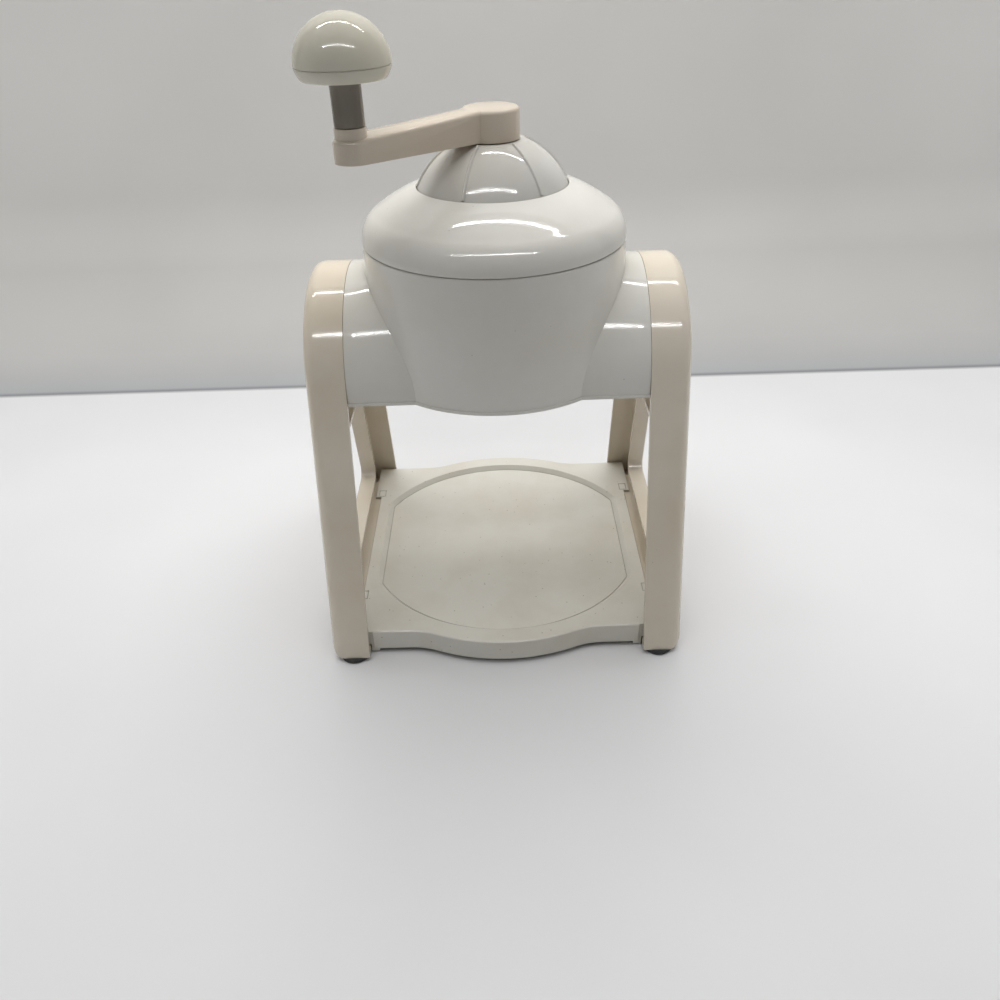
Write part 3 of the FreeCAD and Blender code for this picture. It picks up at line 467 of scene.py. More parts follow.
def fresh_material(name: str) -> tuple[bpy.types.Material, bpy.types.NodeTree]:
    """Start an empty node material.

    Args:
        name: the material's name.

    Returns:
        The material and its tree.
    """
    material = bpy.data.materials.new(name)
    material.use_nodes = True
    material.node_tree.nodes.clear()
    return material, material.node_tree


def finish_with(tree: bpy.types.NodeTree, shader: bpy.types.Node) -> None:
    """Lead the shader to the surface."""
    add_node(tree, "ShaderNodeOutputMaterial", links={"Surface": shader.outputs[0]})


@dataclass(frozen=True)
class MouldedPlastic:
    """Injection moulded plastic: an even colour with faint flow clouds, and a skin as smooth as its mould.

    Attributes:
        name: the material's name.
        colour: the clean colour.
        aged: the colour in patches that light and kitchen air have yellowed.
        shade_and_speck: the colour of the painted shade in seams and corners, and of the dust specks.
        roughness: of the clean skin.
        rubbed: how much rougher the worn patches are.
        rubbed_mm: size of the worn patches.
        wipe_mm: width of the wipe marks.
        wipe_stretch: how many times as long as wide the wipe marks are.
        wave_mm: size of the slow waves that a cooling wall takes.
        wave_depth_mm: their depth.
        peel_mm: size of the skin's ripple.
        peel_depth_mm: its depth.
        cloud_mm: size of the aged patches.
        corner_mm: how far the painted shade reaches out of a corner.
        speck_mm: spacing of the dust specks, 0 for none.
        speck_share: a speck's radius as a share of the spacing.
        edge_mm: radius of the moulded edges.
        ior: 1.54 for ABS, 1.49 for polypropylene, 1.48 for acetal.
    """

    name: str
    colour: str
    aged: str
    shade_and_speck: str
    roughness: float
    rubbed: float = 0.05
    rubbed_mm: float = 28.0
    wipe_mm: float = 9.0
    wipe_stretch: float = 14.0
    wave_mm: float = 34.0
    wave_depth_mm: float = 0.10
    peel_mm: float = 2.4
    peel_depth_mm: float = 0.012
    cloud_mm: float = 55.0
    corner_mm: float = 4.0
    speck_mm: float = 11.0
    speck_share: float = 0.03
    edge_mm: float = 0.45
    ior: float = 1.54

    def colour_of(self, tree: bpy.types.NodeTree, spot: bpy.types.NodeSocket) -> bpy.types.NodeSocket:
        """Clean colour, aged clouds, painted shade in the corners and dust specks.

        Args:
            tree: the material's tree.
            spot: where on the object, in metres.

        Returns:
            The colour's socket.
        """
        cloud = add_node(tree, "ShaderNodeTexNoise", {"Scale": per_metre(self.cloud_mm), "Detail": 4.0,
                                                      "Roughness": 0.55}, {"Vector": spot})
        share = add_node(tree, "ShaderNodeMapRange", {"From Min": 0.42, "From Max": 0.68},
                         {"Value": cloud.outputs[0]})
        base = add_node(tree, "ShaderNodeMix",
                        {"data_type": "RGBA", 6: linear(self.colour), 7: linear(self.aged)},
                        {0: share.outputs[0]})
        # Painted shade: ambient occlusion darkens the colour in corners, seams and recesses, where shade falls.
        corner = add_node(tree, "ShaderNodeAmbientOcclusion", {"samples": 8, "Distance": self.corner_mm * MM})
        closed = add_node(tree, "ShaderNodeMapRange",
                          {"From Min": 0.25, "From Max": 0.8, "To Min": 0.4, "To Max": 0.0},
                          {"Value": corner.outputs["AO"]})
        corner_shaded = add_node(tree, "ShaderNodeMix", {"data_type": "RGBA", 7: linear(self.shade_and_speck)},
                         {0: closed.outputs[0], 6: base.outputs[2]})
        if not self.speck_mm:
            return corner_shaded.outputs[2]
        speck = add_node(tree, "ShaderNodeTexVoronoi", {"Scale": per_metre(self.speck_mm)}, {"Vector": spot})
        dot = add_node(tree, "ShaderNodeMapRange",
                       {"From Min": 0.4 * self.speck_share, "From Max": self.speck_share, "To Min": 0.75,
                        "To Max": 0.0}, {"Value": speck.outputs["Distance"]})
        specked = add_node(tree, "ShaderNodeMix", {"data_type": "RGBA", 7: linear(self.shade_and_speck)},
                           {0: dot.outputs[0], 6: corner_shaded.outputs[2]})
        return specked.outputs[2]

    def roughness_of(self, tree: bpy.types.NodeTree, spot: bpy.types.NodeSocket) -> bpy.types.NodeSocket:
        """Roughness that rises in handled patches and along fine wipe marks.

        Args:
            tree: the material's tree.
            spot: where on the object, in metres.

        Returns:
            The roughness's socket.
        """
        handled = add_node(tree, "ShaderNodeTexNoise", {"Scale": per_metre(self.rubbed_mm), "Detail": 6.0,
                                                        "Roughness": 0.65}, {"Vector": spot})
        rise = add_node(tree, "ShaderNodeMapRange",
                        {"From Min": 0.35, "From Max": 0.75, "To Min": self.roughness,
                         "To Max": self.roughness + self.rubbed}, {"Value": handled.outputs[0]})
        stretch = add_node(tree, "ShaderNodeMapping",
                           {"Rotation": (0.3, 0.5, 0.9), "Scale": (1.0, self.wipe_stretch, self.wipe_stretch)},
                           {"Vector": spot})
        wipe = add_node(tree, "ShaderNodeTexNoise", {"Scale": per_metre(self.wipe_mm), "Detail": 5.0,
                                                     "Roughness": 0.7}, {"Vector": stretch.outputs[0]})
        mark = add_node(tree, "ShaderNodeMapRange", {"From Min": 0.6, "From Max": 0.75, "To Max": self.rubbed},
                        {"Value": wipe.outputs[0]})
        total = add_node(tree, "ShaderNodeMath", {"operation": "ADD", "use_clamp": True},
                         {0: rise.outputs[0], 1: mark.outputs[0]})
        return total.outputs[0]

    def relief_of(self, tree: bpy.types.NodeTree, spot: bpy.types.NodeSocket) -> bpy.types.NodeSocket:
        """Moulded edges, the skin's fine ripple and the slow waves of its wall.

        Args:
            tree: the material's tree.
            spot: where on the object, in metres.

        Returns:
            The normal's socket.
        """
        edge = add_node(tree, "ShaderNodeBevel", {"samples": 6, "Radius": self.edge_mm * MM})
        wave = add_node(tree, "ShaderNodeTexNoise", {"Scale": per_metre(self.wave_mm), "Detail": 1.0},
                        {"Vector": spot})
        slow = add_node(tree, "ShaderNodeBump", {"Strength": 1.0, "Distance": self.wave_depth_mm * MM},
                        {"Height": wave.outputs[0], "Normal": edge.outputs[0]})
        ripple = add_node(tree, "ShaderNodeTexNoise", {"Scale": per_metre(self.peel_mm), "Detail": 2.0},
                          {"Vector": spot})
        fine = add_node(tree, "ShaderNodeBump", {"Strength": 1.0, "Distance": self.peel_depth_mm * MM},
                        {"Height": ripple.outputs[0], "Normal": slow.outputs[0]})
        return fine.outputs[0]

    def material(self) -> bpy.types.Material:
        """Make the material.

        Returns:
            The material.
        """
        material, tree = fresh_material(self.name)
        spot = add_node(tree, "ShaderNodeTexCoord").outputs["Object"]
        shader = add_node(tree, "ShaderNodeBsdfPrincipled", {"IOR": self.ior},
                          {"Base Color": self.colour_of(tree, spot), "Roughness": self.roughness_of(tree, spot),
                           "Normal": self.relief_of(tree, spot)})
        finish_with(tree, shader)
        return material


@dataclass(frozen=True)
class SteelFinish:
    """Bare or plated steel: a metal whose grain shows in its roughness.

    Attributes:
        name: the material's name.
        colour: the metal's colour.
        dull: its colour where it is tarnished.
        roughness: of the bright parts.
        grain: how much longer the grain is along each axis; equal values give a plated skin.
        grain_mm: the grain's width, several times the real one's, which is too fine to show.
        stain_mm: size of the tarnished patches.
        edge_mm: radius of the broken edges.
    """

    name: str
    colour: str
    dull: str
    roughness: float
    grain: tuple[float, float, float] = (1.0, 1.0, 1.0)
    grain_mm: float = 0.5
    stain_mm: float = 7.0
    edge_mm: float = 0.2

    def material(self) -> bpy.types.Material:
        """Make the material.

        Returns:
            The material.
        """
        material, tree = fresh_material(self.name)
        spot = add_node(tree, "ShaderNodeTexCoord").outputs["Object"]
        lined = add_node(tree, "ShaderNodeMapping", {"Scale": tuple(1.0 / part for part in self.grain)},
                         {"Vector": spot})
        grain = add_node(tree, "ShaderNodeTexNoise", {"Scale": per_metre(self.grain_mm), "Detail": 3.0},
                         {"Vector": lined.outputs[0]})
        stain = add_node(tree, "ShaderNodeTexNoise", {"Scale": per_metre(self.stain_mm), "Detail": 5.0},
                         {"Vector": spot})
        share = add_node(tree, "ShaderNodeMapRange", {"From Min": 0.45, "From Max": 0.7},
                         {"Value": stain.outputs[0]})
        colour = add_node(tree, "ShaderNodeMix",
                          {"data_type": "RGBA", 6: linear(self.colour), 7: linear(self.dull)},
                          {0: share.outputs[0]})
        rough = add_node(tree, "ShaderNodeMapRange",
                         {"From Min": 0.3, "From Max": 0.7, "To Min": self.roughness,
                          "To Max": self.roughness + 0.18}, {"Value": grain.outputs[0]})
        edge = add_node(tree, "ShaderNodeBevel", {"samples": 6, "Radius": self.edge_mm * MM})
        relief = add_node(tree, "ShaderNodeBump", {"Strength": 1.0, "Distance": 0.01 * MM},
                          {"Height": grain.outputs[0], "Normal": edge.outputs[0]})
        shader = add_node(tree, "ShaderNodeBsdfPrincipled", {"Metallic": 1.0},
                          {"Base Color": colour.outputs[2], "Roughness": rough.outputs[0],
                           "Normal": relief.outputs[0]})
        finish_with(tree, shader)
        return material


@dataclass(frozen=True)
class RubberFinish:
    """Moulded natural rubber: nearly black, matt, dusty where it has been handled.

    Attributes:
        name: the material's name.
        colour: the rubber's colour.
        dust: the colour of the dust on it.
        dust_mm: size of the dusty patches.
        pore_mm: size of the skin's pores, drawn twice as coarse as they are so that they show.
        pore_depth_mm: their depth.
    """

    name: str
    colour: str
    dust: str
    dust_mm: float = 5.0
    pore_mm: float = 0.6
    pore_depth_mm: float = 0.05

    def material(self) -> bpy.types.Material:
        """Make the material.

        Returns:
            The material.
        """
        material, tree = fresh_material(self.name)
        spot = add_node(tree, "ShaderNodeTexCoord").outputs["Object"]
        film = add_node(tree, "ShaderNodeTexNoise", {"Scale": per_metre(self.dust_mm), "Detail": 6.0},
                        {"Vector": spot})
        share = add_node(tree, "ShaderNodeMapRange", {"From Min": 0.5, "From Max": 0.8, "To Max": 0.6},
                         {"Value": film.outputs[0]})
        colour = add_node(tree, "ShaderNodeMix",
                          {"data_type": "RGBA", 6: linear(self.colour), 7: linear(self.dust)},
                          {0: share.outputs[0]})
        pores = add_node(tree, "ShaderNodeTexNoise", {"Scale": per_metre(self.pore_mm), "Detail": 2.0},
                         {"Vector": spot})
        rough = add_node(tree, "ShaderNodeMapRange", {"To Min": 0.62, "To Max": 0.85},
                         {"Value": pores.outputs[0]})
        relief = add_node(tree, "ShaderNodeBump", {"Strength": 1.0, "Distance": self.pore_depth_mm * MM},
                          {"Height": pores.outputs[0]})
        shader = add_node(tree, "ShaderNodeBsdfPrincipled", {"IOR": 1.52},
                          {"Base Color": colour.outputs[2], "Roughness": rough.outputs[0],
                           "Normal": relief.outputs[0]})
        finish_with(tree, shader)
        return material


# Almond ABS from a polished mould: a warm glossy skin that mirrors lamps as crisp lines, yellower in patches.
ALMOND_ABS = MouldedPlastic("moulded_almond_abs", "#DED4C4", "#D8CCB8", "#8F7C5E", 0.07)
# White ABS from the best polished mould: the cleanest and glossiest shell, with fine dust and soft wipe marks.
WHITE_ABS = MouldedPlastic("moulded_white_abs", "#E1DFD8", "#DCD8CE", "#8C877A", 0.06)
# White ABS of another batch: as glossy, a shade greyer, so that the dome stands out from the lid.
GREY_WHITE_ABS = MouldedPlastic("moulded_grey_white_abs", "#D6D4CE", "#D0CCC2", "#858074", 0.06)
# Almond ABS worn by the hand: pinker than the frames and a little duller, so that its glints are softer.
CRANK_ABS = MouldedPlastic("moulded_pinkish_almond_abs", "#D4C8B7", "#D0C2AF", "#8C7860", 0.08)
# ABS polished by the palm: a greenish white with sharp glints and more specks than the shells have.
KNOB_ABS = MouldedPlastic("moulded_knob_abs", "#D0CCBD", "#CAC4B1", "#857C68", 0.06, speck_mm=8.0)
# Grey ABS: a plain satin sleeve that shows wide, soft highlights.
STEM_ABS = MouldedPlastic("moulded_grey_abs", "#7F796E", "#787166", "#4A463F", 0.12)
# Polypropylene: a waxy satin that blurs what it mirrors, with the grain of its mould and coarse dark specks.
TRAY_PP = MouldedPlastic("moulded_tray_polypropylene", "#DDDAD0", "#D7D2C5", "#857C68", 0.17, rubbed=0.05,
                         peel_mm=1.2, peel_depth_mm=0.02, cloud_mm=38.0, speck_mm=5.5, speck_share=0.085,
                         ior=1.49)
# Uncoloured polypropylene: milky and nearly matt, as on parts that nobody sees.
LINER_PP = MouldedPlastic("milk_white_polypropylene", "#DADAD6", "#D2D1C9", "#8E8B80", 0.38, ior=1.49)
# Machined acetal: creamy and smooth but not glossy, without specks.
ACETAL = MouldedPlastic("natural_acetal", "#E0DDD2", "#D8D4C4", "#8E8873", 0.32, speck_mm=0.0, ior=1.48)
# Zinc plated steel: bright and slightly cloudy, with an even, fine sparkle.
ZINC_STEEL = SteelFinish("bright_zinc_plated_steel", "#C9C9C6", "#A7A59C", 0.24)
# Ground steel: the grinder's fine lines along Y pull its highlights out across them.
GROUND_STEEL = SteelFinish("ground_blade_steel", "#D2D3D4", "#B4B4B2", 0.18, grain=(1.0, 30.0, 1.0),
                           grain_mm=0.3)
# Turned steel: fine rings round the upright shafts that spread highlights along them.
TURNED_STEEL = SteelFinish("turned_shaft_steel", "#C4C4C2", "#A3A19A", 0.22, grain=(12.0, 12.0, 1.0),
                           grain_mm=0.25)
# Natural rubber: nearly black and matt, greyed by dust where it meets the table.
FOOT_RUBBER = RubberFinish("moulded_black_rubber", "#161616", "#4B4945")

Finish = MouldedPlastic | SteelFinish | RubberFinish


@dataclass
class Bench:
    """Keeps the materials and turns forms into finished pieces.

    Attributes:
        made: the materials so far, by name.
    """

    made: dict[str, bpy.types.Material] = field(default_factory=dict)

    def coat(self, finish: Finish) -> bpy.types.Material:
        """Look up a finish's material, which is made once.

        Args:
            finish: the finish.

        Returns:
            Its material.
        """
        if finish.name not in self.made:
            self.made[finish.name] = finish.material()
        return self.made[finish.name]

    def piece(self, name: str, form: Form, finish: Finish, body: Body,
              stands_for: tuple[str, ...]) -> bpy.types.Object:
        """Finish a form as a piece of the object.

        Args:
            name: the piece's name.
            form: its shape in millimetres, which is used up.
            finish: what it is made of.
            body: the body it moves with.
            stands_for: the CAD nodes that it stands for.

        Returns:
            The object, at the origin.
        """
        bmesh.ops.scale(form, vec=(MM, MM, MM), verts=form.verts)
        for face in form.faces:
            face.smooth = True
        for edge in form.edges:
            edge.smooth = len(edge.link_faces) == 2 and edge.calc_face_angle(0.0) < SMOOTH_ANGLE
        item = bpy.data.objects.new(name, mesh_of(form, name))
        bpy.context.scene.collection.objects.link(item)
        item.data.materials.append(self.coat(finish))
        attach(item, body.value)
        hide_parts(*stands_for)
        log.info("%s: %d faces, %s", name, len(item.data.polygons), finish.name)
        return item

    def dress(self, node: str, finish: Finish) -> None:
        """Give a CAD node that stays in view its material.

        Args:
            node: the node's name.
            finish: what it is made of.
        """
        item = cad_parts[node]
        item.data.materials.clear()
        item.data.materials.append(self.coat(finish))
        log.info("%s: kept, %s", node, finish.name)


# ------------------------------------------------------------------ the stand


@dataclass
class SideFrames:
    """Two open-backed arched frames, each with a window, a plain round field and sunk screws.

    Attributes:
        plane: X of the face that stands against the housing.
        thick: how far the frame reaches out from there.
        wall: thickness of its outer wall and edge.
        arch_radius: outer radius of the arch.
        arch_height: level of the arch's middle.
        lean: how far the legs lean out, in degrees.
        foot: level of the legs' ends.
        round_over: radius of the outer edges.
        arch_steps: how many chords the arch has.
        leg: width of the legs beside the window.
        window_top: level of the window's upper edge.
        window_sill: level of its lower edge.
        window_corner: radius of its corners.
        sill_reach: how far a corner's round runs along its sides at the sill, as a share of its radius.
        top_reach: the same at the top, where the corners are blunt.
        window_edge: rounding of the window's edge on the outer face.
        window_band: levels between which an edge on the outer face is the window's.
        rim_wall: thickness of the rim round the window.
        rim_depth: how far the rim reaches in.
        ring_radius: outer radius of the groove in the round field.
        ring_width: its width.
        ring_depth: its depth.
        ring_steps: how many chords it has.
        screw_ring: radius of the ring of screws to the housing.
        screw_turns: where they stand on it, in degrees.
        tray_screw: Y and Z of the screws to the tray.
        boss_radius: radius of the screws' bosses.
        sink_radius: radius of their sinks.
        sink_depth: how deep their heads are sunk.
        gap: play between a boss and what it is screwed to.
        wing_reach: X of the tray's wings' ends.
        ledge_inner: X of the ledge's inner face.
        ledge_wall: thickness of the ledge's upright wall.
        ledge_half: half its length.
        ledge_level: level of its shelf.
        ledge_thick: thickness of its shelf.
        shelf_half: half the length of the shelf inside the frame.
    """

    plane: float = 77.5
    thick: float = 21.3
    wall: float = 2.4
    arch_radius: float = 55.35
    arch_height: float = 142.0
    lean: float = 14.9
    foot: float = 2.5
    round_over: float = 7.0
    arch_steps: int = 72
    leg: float = 22.0
    window_top: float = 100.0
    window_sill: float = 25.0
    window_corner: float = 6.0
    sill_reach: float = 1.3
    top_reach: float = 0.77
    window_edge: float = 1.0
    window_band: tuple[float, float] = (20.0, 104.0)
    rim_wall: float = 2.2
    rim_depth: float = 10.1
    ring_radius: float = 29.0
    ring_width: float = 1.6
    ring_depth: float = 0.8
    ring_steps: int = 120
    screw_ring: float = 42.0
    screw_turns: tuple[float, ...] = (168.0, 108.0, 48.0)
    tray_screw: Point = (70.0, 10.6)
    boss_radius: float = 4.2
    sink_radius: float = 3.4
    sink_depth: float = 6.0
    gap: float = 0.2
    wing_reach: float = 88.1
    ledge_inner: float = 84.7
    ledge_wall: float = 3.6
    ledge_half: float = 49.9
    ledge_level: float = 14.2
    ledge_thick: float = 2.2
    shelf_half: float = 70.0

    def outer_plane(self) -> float:
        """X of the frame's outer face."""
        return self.plane + self.thick

    def half_width(self, inset: float, level: float) -> float:
        """How far out a line that is set in from the leg's edge stands at a level."""
        lean = math.radians(self.lean)
        return (self.arch_radius - inset + (self.arch_height - level) * math.sin(lean)) / math.cos(lean)

    def outline(self, inset: float, base: float) -> Outline:
        """The arch and its two leaning legs, in Y and Z.

        Args:
            inset: how far the outline is set in.
            base: the level of its foot.

        Returns:
            The corners, going round.
        """
        foot = self.half_width(inset, base)
        crown = arc((0.0, self.arch_height), self.arch_radius - inset, self.lean, 180.0 - self.lean,
                    self.arch_steps)
        return [(-foot, base), (foot, base), *crown]

    def housing_screws(self) -> Outline:
        """Y and Z of the three screws to the housing."""
        turns = [math.radians(turn) for turn in self.screw_turns]
        return [(self.screw_ring * math.cos(a), self.arch_height + self.screw_ring * math.sin(a)) for a in turns]

    def tray_screws(self) -> Outline:
        """Y and Z of the two screws to the tray."""
        return [(-self.tray_screw[0], self.tray_screw[1]), self.tray_screw]

    def rounded_prism(self, inset: float, base: float, low: float, high: float, radius: float) -> Form:
        """A prism of the outline whose far edges are rounded.

        Args:
            inset: how far the outline is set in.
            base: the level of its foot.
            low: where it starts along X.
            high: where its rounded face lies.
            radius: of its edges.

        Returns:
            The solid.
        """
        return rounded(prism(self.outline(inset, base), low, high, Across.X), radius, 7,
                       level_at(Across.X, high))

    def window(self, grow: float, low: float, high: float) -> Form:
        """The window's opening, whose sides follow the legs and whose corners are round.

        Args:
            grow: how much wider it is all round.
            low: where it starts along X.
            high: where it ends.

        Returns:
            The opening as a solid.
        """
        top, sill = self.window_top + grow, self.window_sill - grow
        wide, narrow = (self.half_width(self.leg - grow, level) for level in (sill, top))
        form = prism([(-wide, sill), (wide, sill), (narrow, top), (-narrow, top)], low, high, Across.X)
        along_x = [edge for edge in form.edges if abs(edge.verts[0].co.x - edge.verts[1].co.x) > OVERCUT]
        for at_top, reach in ((False, self.sill_reach), (True, self.top_reach)):
            corners = [edge for edge in along_x
                       if edge.is_valid and (edge.verts[0].co.z > (top + sill) / 2) == at_top]
            bevelled(form, corners, reach * (self.window_corner + grow), 8)
        return form

    def ledge(self) -> Form:
        """The ledge that the tray's edge rests against: an upright wall and a shelf out to the outer wall.

        Returns:
            The ledge.
        """
        inner, outer = self.ledge_inner, self.outer_plane() - self.wall / 2
        back, foot = inner + self.ledge_wall, self.foot + self.wall / 2
        under = self.ledge_level - self.ledge_thick
        outline = [(inner, foot), (back, foot), (back, under), (outer, under), (outer, self.ledge_level),
                   (inner, self.ledge_level)]
        shelf = block((back, -self.shelf_half, under), (outer, self.shelf_half, self.ledge_level))
        return carved(prism(outline, -self.ledge_half, self.ledge_half, Across.Y), shelf, Cut.JOIN)

    def ring(self) -> Form:
        """The groove in the round field, as a solid.

        Returns:
            The ring.
        """
        outer = self.outer_plane()
        disc = rod((outer - self.ring_depth, 0.0, self.arch_height), self.ring_radius, 2 * OVERCUT, Across.X,
                   self.ring_steps)
        core = rod((outer - 2 * OVERCUT, 0.0, self.arch_height), self.ring_radius - self.ring_width, 4 * OVERCUT,
                   Across.X, self.ring_steps)
        return carved(disc, core, Cut.TAKE)

    def bosses(self) -> list[Form]:
        """The posts behind the screws, from the outer wall to what each is screwed to.

        Returns:
            The posts.
        """
        end, posts = self.outer_plane() - self.wall / 2, []
        for spots, meets in ((self.housing_screws(), self.plane), (self.tray_screws(), self.wing_reach)):
            start = meets + self.gap
            posts += [rod((start, y, z), self.boss_radius, end - start, Across.X) for y, z in spots]
        return posts

    def shell(self) -> Form:
        """The right frame: outer wall, rim, ledge and bosses, less window, ring and screw holes.

        Returns:
            The frame.
        """
        outer = self.outer_plane()
        solid = self.rounded_prism(0.0, self.foot, self.plane, outer, self.round_over)
        hollow = self.rounded_prism(self.wall, self.foot + self.wall, self.plane - OVERCUT, outer - self.wall,
                                    self.round_over - self.wall)
        solid = carved(solid, hollow, Cut.TAKE)
        rim = self.window(self.rim_wall, outer - self.rim_depth, outer - self.wall / 2)
        for part in (rim, self.ledge(), *self.bosses()):
            solid = carved(solid, part, Cut.JOIN)
        solid = carved(solid, self.window(0.0, self.plane - OVERCUT, outer + OVERCUT), Cut.TAKE)
        holes = [rod((outer - self.sink_depth, y, z), self.sink_radius, self.sink_depth + OVERCUT, Across.X, 40)
                 for y, z in self.housing_screws() + self.tray_screws()]
        solid = carved(solid, gathered(*holes, self.ring()), Cut.TAKE)
        return self.softened(solid)

    def softened(self, solid: Form) -> Form:
        """Round the window's edge on the outer face.

        Args:
            solid: the frame, which is changed.

        Returns:
            The same frame.
        """
        on_face, (low, high) = level_at(Across.X, self.outer_plane()), self.window_band
        edges = [edge for edge in solid.edges
                 if on_face(edge.verts[0].co, edge.verts[1].co) and is_crease(edge, 60.0)
                 and low < edge.verts[0].co.z < high]
        return bevelled(solid, edges, self.window_edge, 4)

    def build(self, bench: Bench) -> None:
        """Make both frames.

        Args:
            bench: finishes the pieces.
        """
        right = self.shell()
        left = flipped_over_x(right.copy())
        bench.piece("frame_shell_right", right, ALMOND_ABS, Body.STAND,
                    ("side_frame_right",))
        bench.piece("frame_shell_left", left, ALMOND_ABS, Body.STAND, ("side_frame_left",))


@dataclass
class Feet:
    """Four rubber pads with a softly rounded tread.

    Attributes:
        radius: radius of a pad.
        height: its height.
        tread_round: rounding of its tread.
        plug_radius: radius of the plug that is pressed into the frame.
        plug_height: its height.
        x: how far out a pad's middle stands.
        y: how far to the front and back it stands.
    """

    radius: float = 8.2
    height: float = 2.5
    tread_round: float = 0.7
    plug_radius: float = 3.0
    plug_height: float = 2.4
    x: float = 86.3
    y: float = 88.2

    def build(self, bench: Bench) -> None:
        """Make the pads and their plugs.

        Args:
            bench: finishes the pieces.
        """
        tread, top = self.tread_round, self.height + self.plug_height
        profile = [(0.0, 0.0), *arc((self.radius - tread, tread), tread, -90.0, 0.0, 5),
                   (self.radius, self.height), (self.plug_radius, self.height), (self.plug_radius, top),
                   (0.0, top)]
        pads = [spun(profile, 48, (x, y)) for x in (-self.x, self.x) for y in (-self.y, self.y)]
        bench.piece("foot_pads", gathered(*pads), FOOT_RUBBER, Body.STAND, ("rubber_feet",))


@dataclass
class SideScrews:
    """Pan head screws with a cross recess, sunk into the frames.

    Attributes:
        head_radius: radius of the head.
        head_height: its height.
        head_side: its straight side as a share of its height.
        head_dome: radius of its domed top.
        shank_radius: radius of the shank.
        housing_length: length of the screws to the housing.
        tray_length: length of the screws to the tray.
        cross_width: width of the recess's slots.
        cross_reach: half their length.
        cross_depth: their depth.
        rest_turn: how far each comes to rest turned past the one before it, in degrees.
    """

    head_radius: float = 3.0
    head_height: float = 2.0
    head_side: float = 0.45
    head_dome: float = 4.2
    shank_radius: float = 1.5
    housing_length: float = 24.0
    tray_length: float = 14.0
    cross_width: float = 0.9
    cross_reach: float = 1.7
    cross_depth: float = 1.2
    rest_turn: float = 37.0

    def screw(self, length: float) -> Form:
        """One screw that points down, its head's underside at the origin.

        Args:
            length: of its shank.

        Returns:
            The screw.
        """
        side = (self.head_radius, self.head_height * self.head_side)
        head = spun([(0.0, -length), (self.shank_radius, -length), (self.shank_radius, 0.0),
                     (self.head_radius, 0.0), side,
                     *arc_through(side, (0.0, self.head_height), self.head_dome, 8)], 40)
        half, reach, base = self.cross_width / 2, self.cross_reach, self.head_height - self.cross_depth
        for size_x, size_y in ((half, reach), (reach, half)):
            slot = block((-size_x, -size_y, base), (size_x, size_y, self.head_height + OVERCUT))
            head = carved(head, slot, Cut.TAKE)
        return head

    def screws(self, seat: float, spots: Outline, length: float) -> Form:
        """The same screws in both frames.

        Args:
            seat: X of the sinks' floors.
            spots: Y and Z of each screw.
            length: of the shanks.

        Returns:
            The screws.
        """
        forms = []
        for index, (y, z) in enumerate(spots):
            for side in (1, -1):
                form = turned_about_z(self.screw(length), self.rest_turn * (index + 1) * side)
                facing = Matrix.Rotation(side * math.pi / 2, 4, "Y")
                place = Matrix.Translation((side * seat, y, z)) @ facing
                bmesh.ops.transform(form, matrix=place, verts=form.verts)
                forms.append(form)
        return gathered(*forms)

    def build(self, bench: Bench, frames: SideFrames) -> None:
        """Put the screws into both frames.

        Args:
            bench: finishes the pieces.
            frames: what they are sunk into.
        """
        seat = frames.outer_plane() - frames.sink_depth
        to_housing = self.screws(seat, frames.housing_screws(), self.housing_length)
        to_tray = self.screws(seat, frames.tray_screws(), self.tray_length)
        bench.piece("frame_screw_set", to_housing, ZINC_STEEL, Body.STAND, ("frame_screws",))
        bench.piece("tray_screw_set", to_tray, ZINC_STEEL, Body.STAND, ("tray_screws",))


